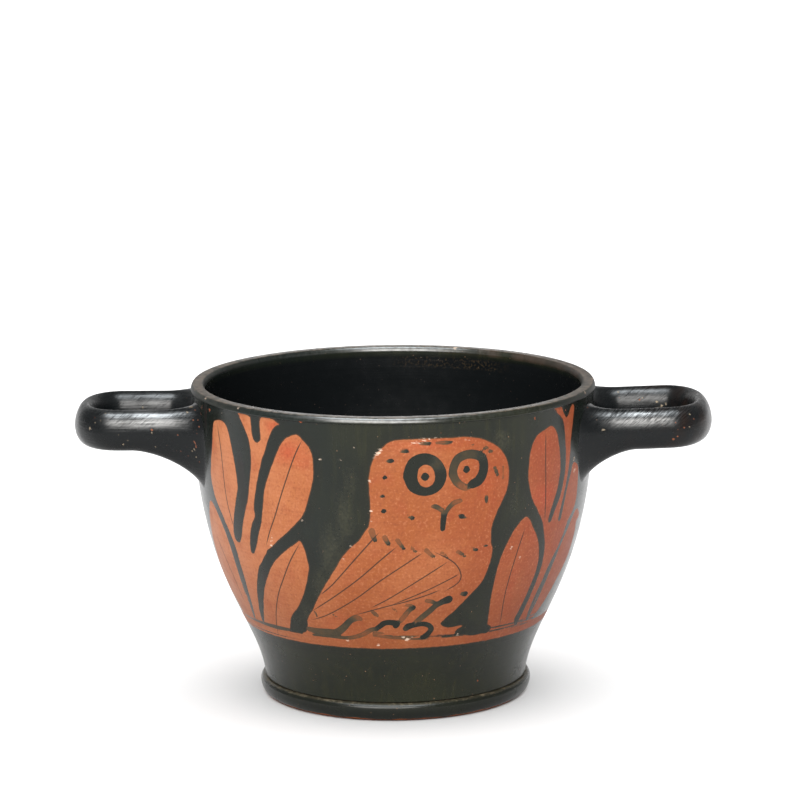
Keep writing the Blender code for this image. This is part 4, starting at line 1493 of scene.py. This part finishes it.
class CUP_OT_stage(bpy.types.Operator):
    """Sets the floor, the light and the camera"""

    bl_idname = "cup.stage"
    bl_label = "Stage"

    def execute(self, context):
        looks = context.scene.cup_looks
        half = looks.floor_size / 2
        mesh = bpy.data.meshes.new("floor")
        corners = [(x, y, z) for y, z in ((-half, 0.0), (half, 0.0), (half, half)) for x in (-half, half)]
        mesh.from_pydata(corners, [], [(0, 1, 3, 2), (2, 3, 5, 4)])
        floor = bpy.data.objects.new("floor", mesh)
        context.scene.collection.objects.link(floor)
        plain = Finish("plain_floor")
        plain.shader.inputs["Base Color"].default_value = (*looks.floor, 1.0)
        plain.shader.inputs["Roughness"].default_value = 0.9
        mesh.materials.append(plain.material)

        world = bpy.data.worlds.new("white_surroundings")
        world.use_nodes = True
        background = world.node_tree.nodes["Background"]
        background.inputs["Color"].default_value = (1.0, 1.0, 1.0, 1.0)
        background.inputs["Strength"].default_value = looks.surroundings
        context.scene.world = world

        strength = looks.light * math.pi * math.sin(LIGHT_BREADTH / 2) ** 2
        for name, (elevation, bearings, colour) in LIGHT_ROWS.items():
            for bearing in bearings:
                source = wide_sun(name, LIGHT_BREADTH, strength, cup_pieces())
                source.data.color = colour
                source.rotation_euler = (math.radians(90 - elevation), 0.0, math.radians(bearing))
        lit_floor = bpy.data.collections.new("lit_from_overhead")
        lit_floor.objects.link(floor)
        wide_sun("overhead_light", OVERHEAD_BREADTH, looks.overhead, lit_floor)

        camera = bpy.data.objects.new("camera", bpy.data.cameras.new("camera"))
        camera.data.sensor_width = 36.0
        camera.data.lens = looks.camera_lens
        tilt = looks.camera_tilt
        back = Vector((0.0, -math.cos(tilt), math.sin(tilt)))
        aim = (-back).to_track_quat("-Z", "Y").to_matrix()
        aim = aim @ Matrix.Rotation(-looks.camera_roll, 3, "Z")
        camera.rotation_euler = aim.to_euler()
        camera.location = Vector(CAMERA_TARGET) + looks.camera_distance * back
        context.scene.collection.objects.link(camera)
        context.scene.camera = camera
        context.scene.view_settings.view_transform = "Standard"
        return {"FINISHED"}


class CUP_PT_cup(bpy.types.Panel):
    """The cup's pieces, its stage and its looks"""

    bl_label = "Owl cup"
    bl_space_type = "VIEW_3D"
    bl_region_type = "UI"
    bl_category = "Owl cup"

    def draw(self, context):
        for operator in OPERATORS:
            self.layout.operator(operator.bl_idname)
        for name in CupLooks.__annotations__:
            self.layout.prop(context.scene.cup_looks, name)


OPERATORS = (CUP_OT_bowl, CUP_OT_foot, CUP_OT_handles, CUP_OT_stage)
CLASSES = (CupLooks, *OPERATORS, CUP_PT_cup)


def register():
    """Adds the classes, and the looks to every scene."""
    for made in CLASSES:
        bpy.utils.register_class(made)
    bpy.types.Scene.cup_looks = PointerProperty(type=CupLooks)


def unregister():
    """Takes the looks and the classes away again."""
    del bpy.types.Scene.cup_looks
    for made in reversed(CLASSES):
        bpy.utils.unregister_class(made)


def main():
    """Makes the cup and its stage."""
    register()
    bpy.ops.cup.bowl()
    bpy.ops.cup.foot()
    bpy.ops.cup.handles()
    bpy.ops.cup.stage()
    bpy.context.view_layer.update()


if __name__ == "__main__":
    main()
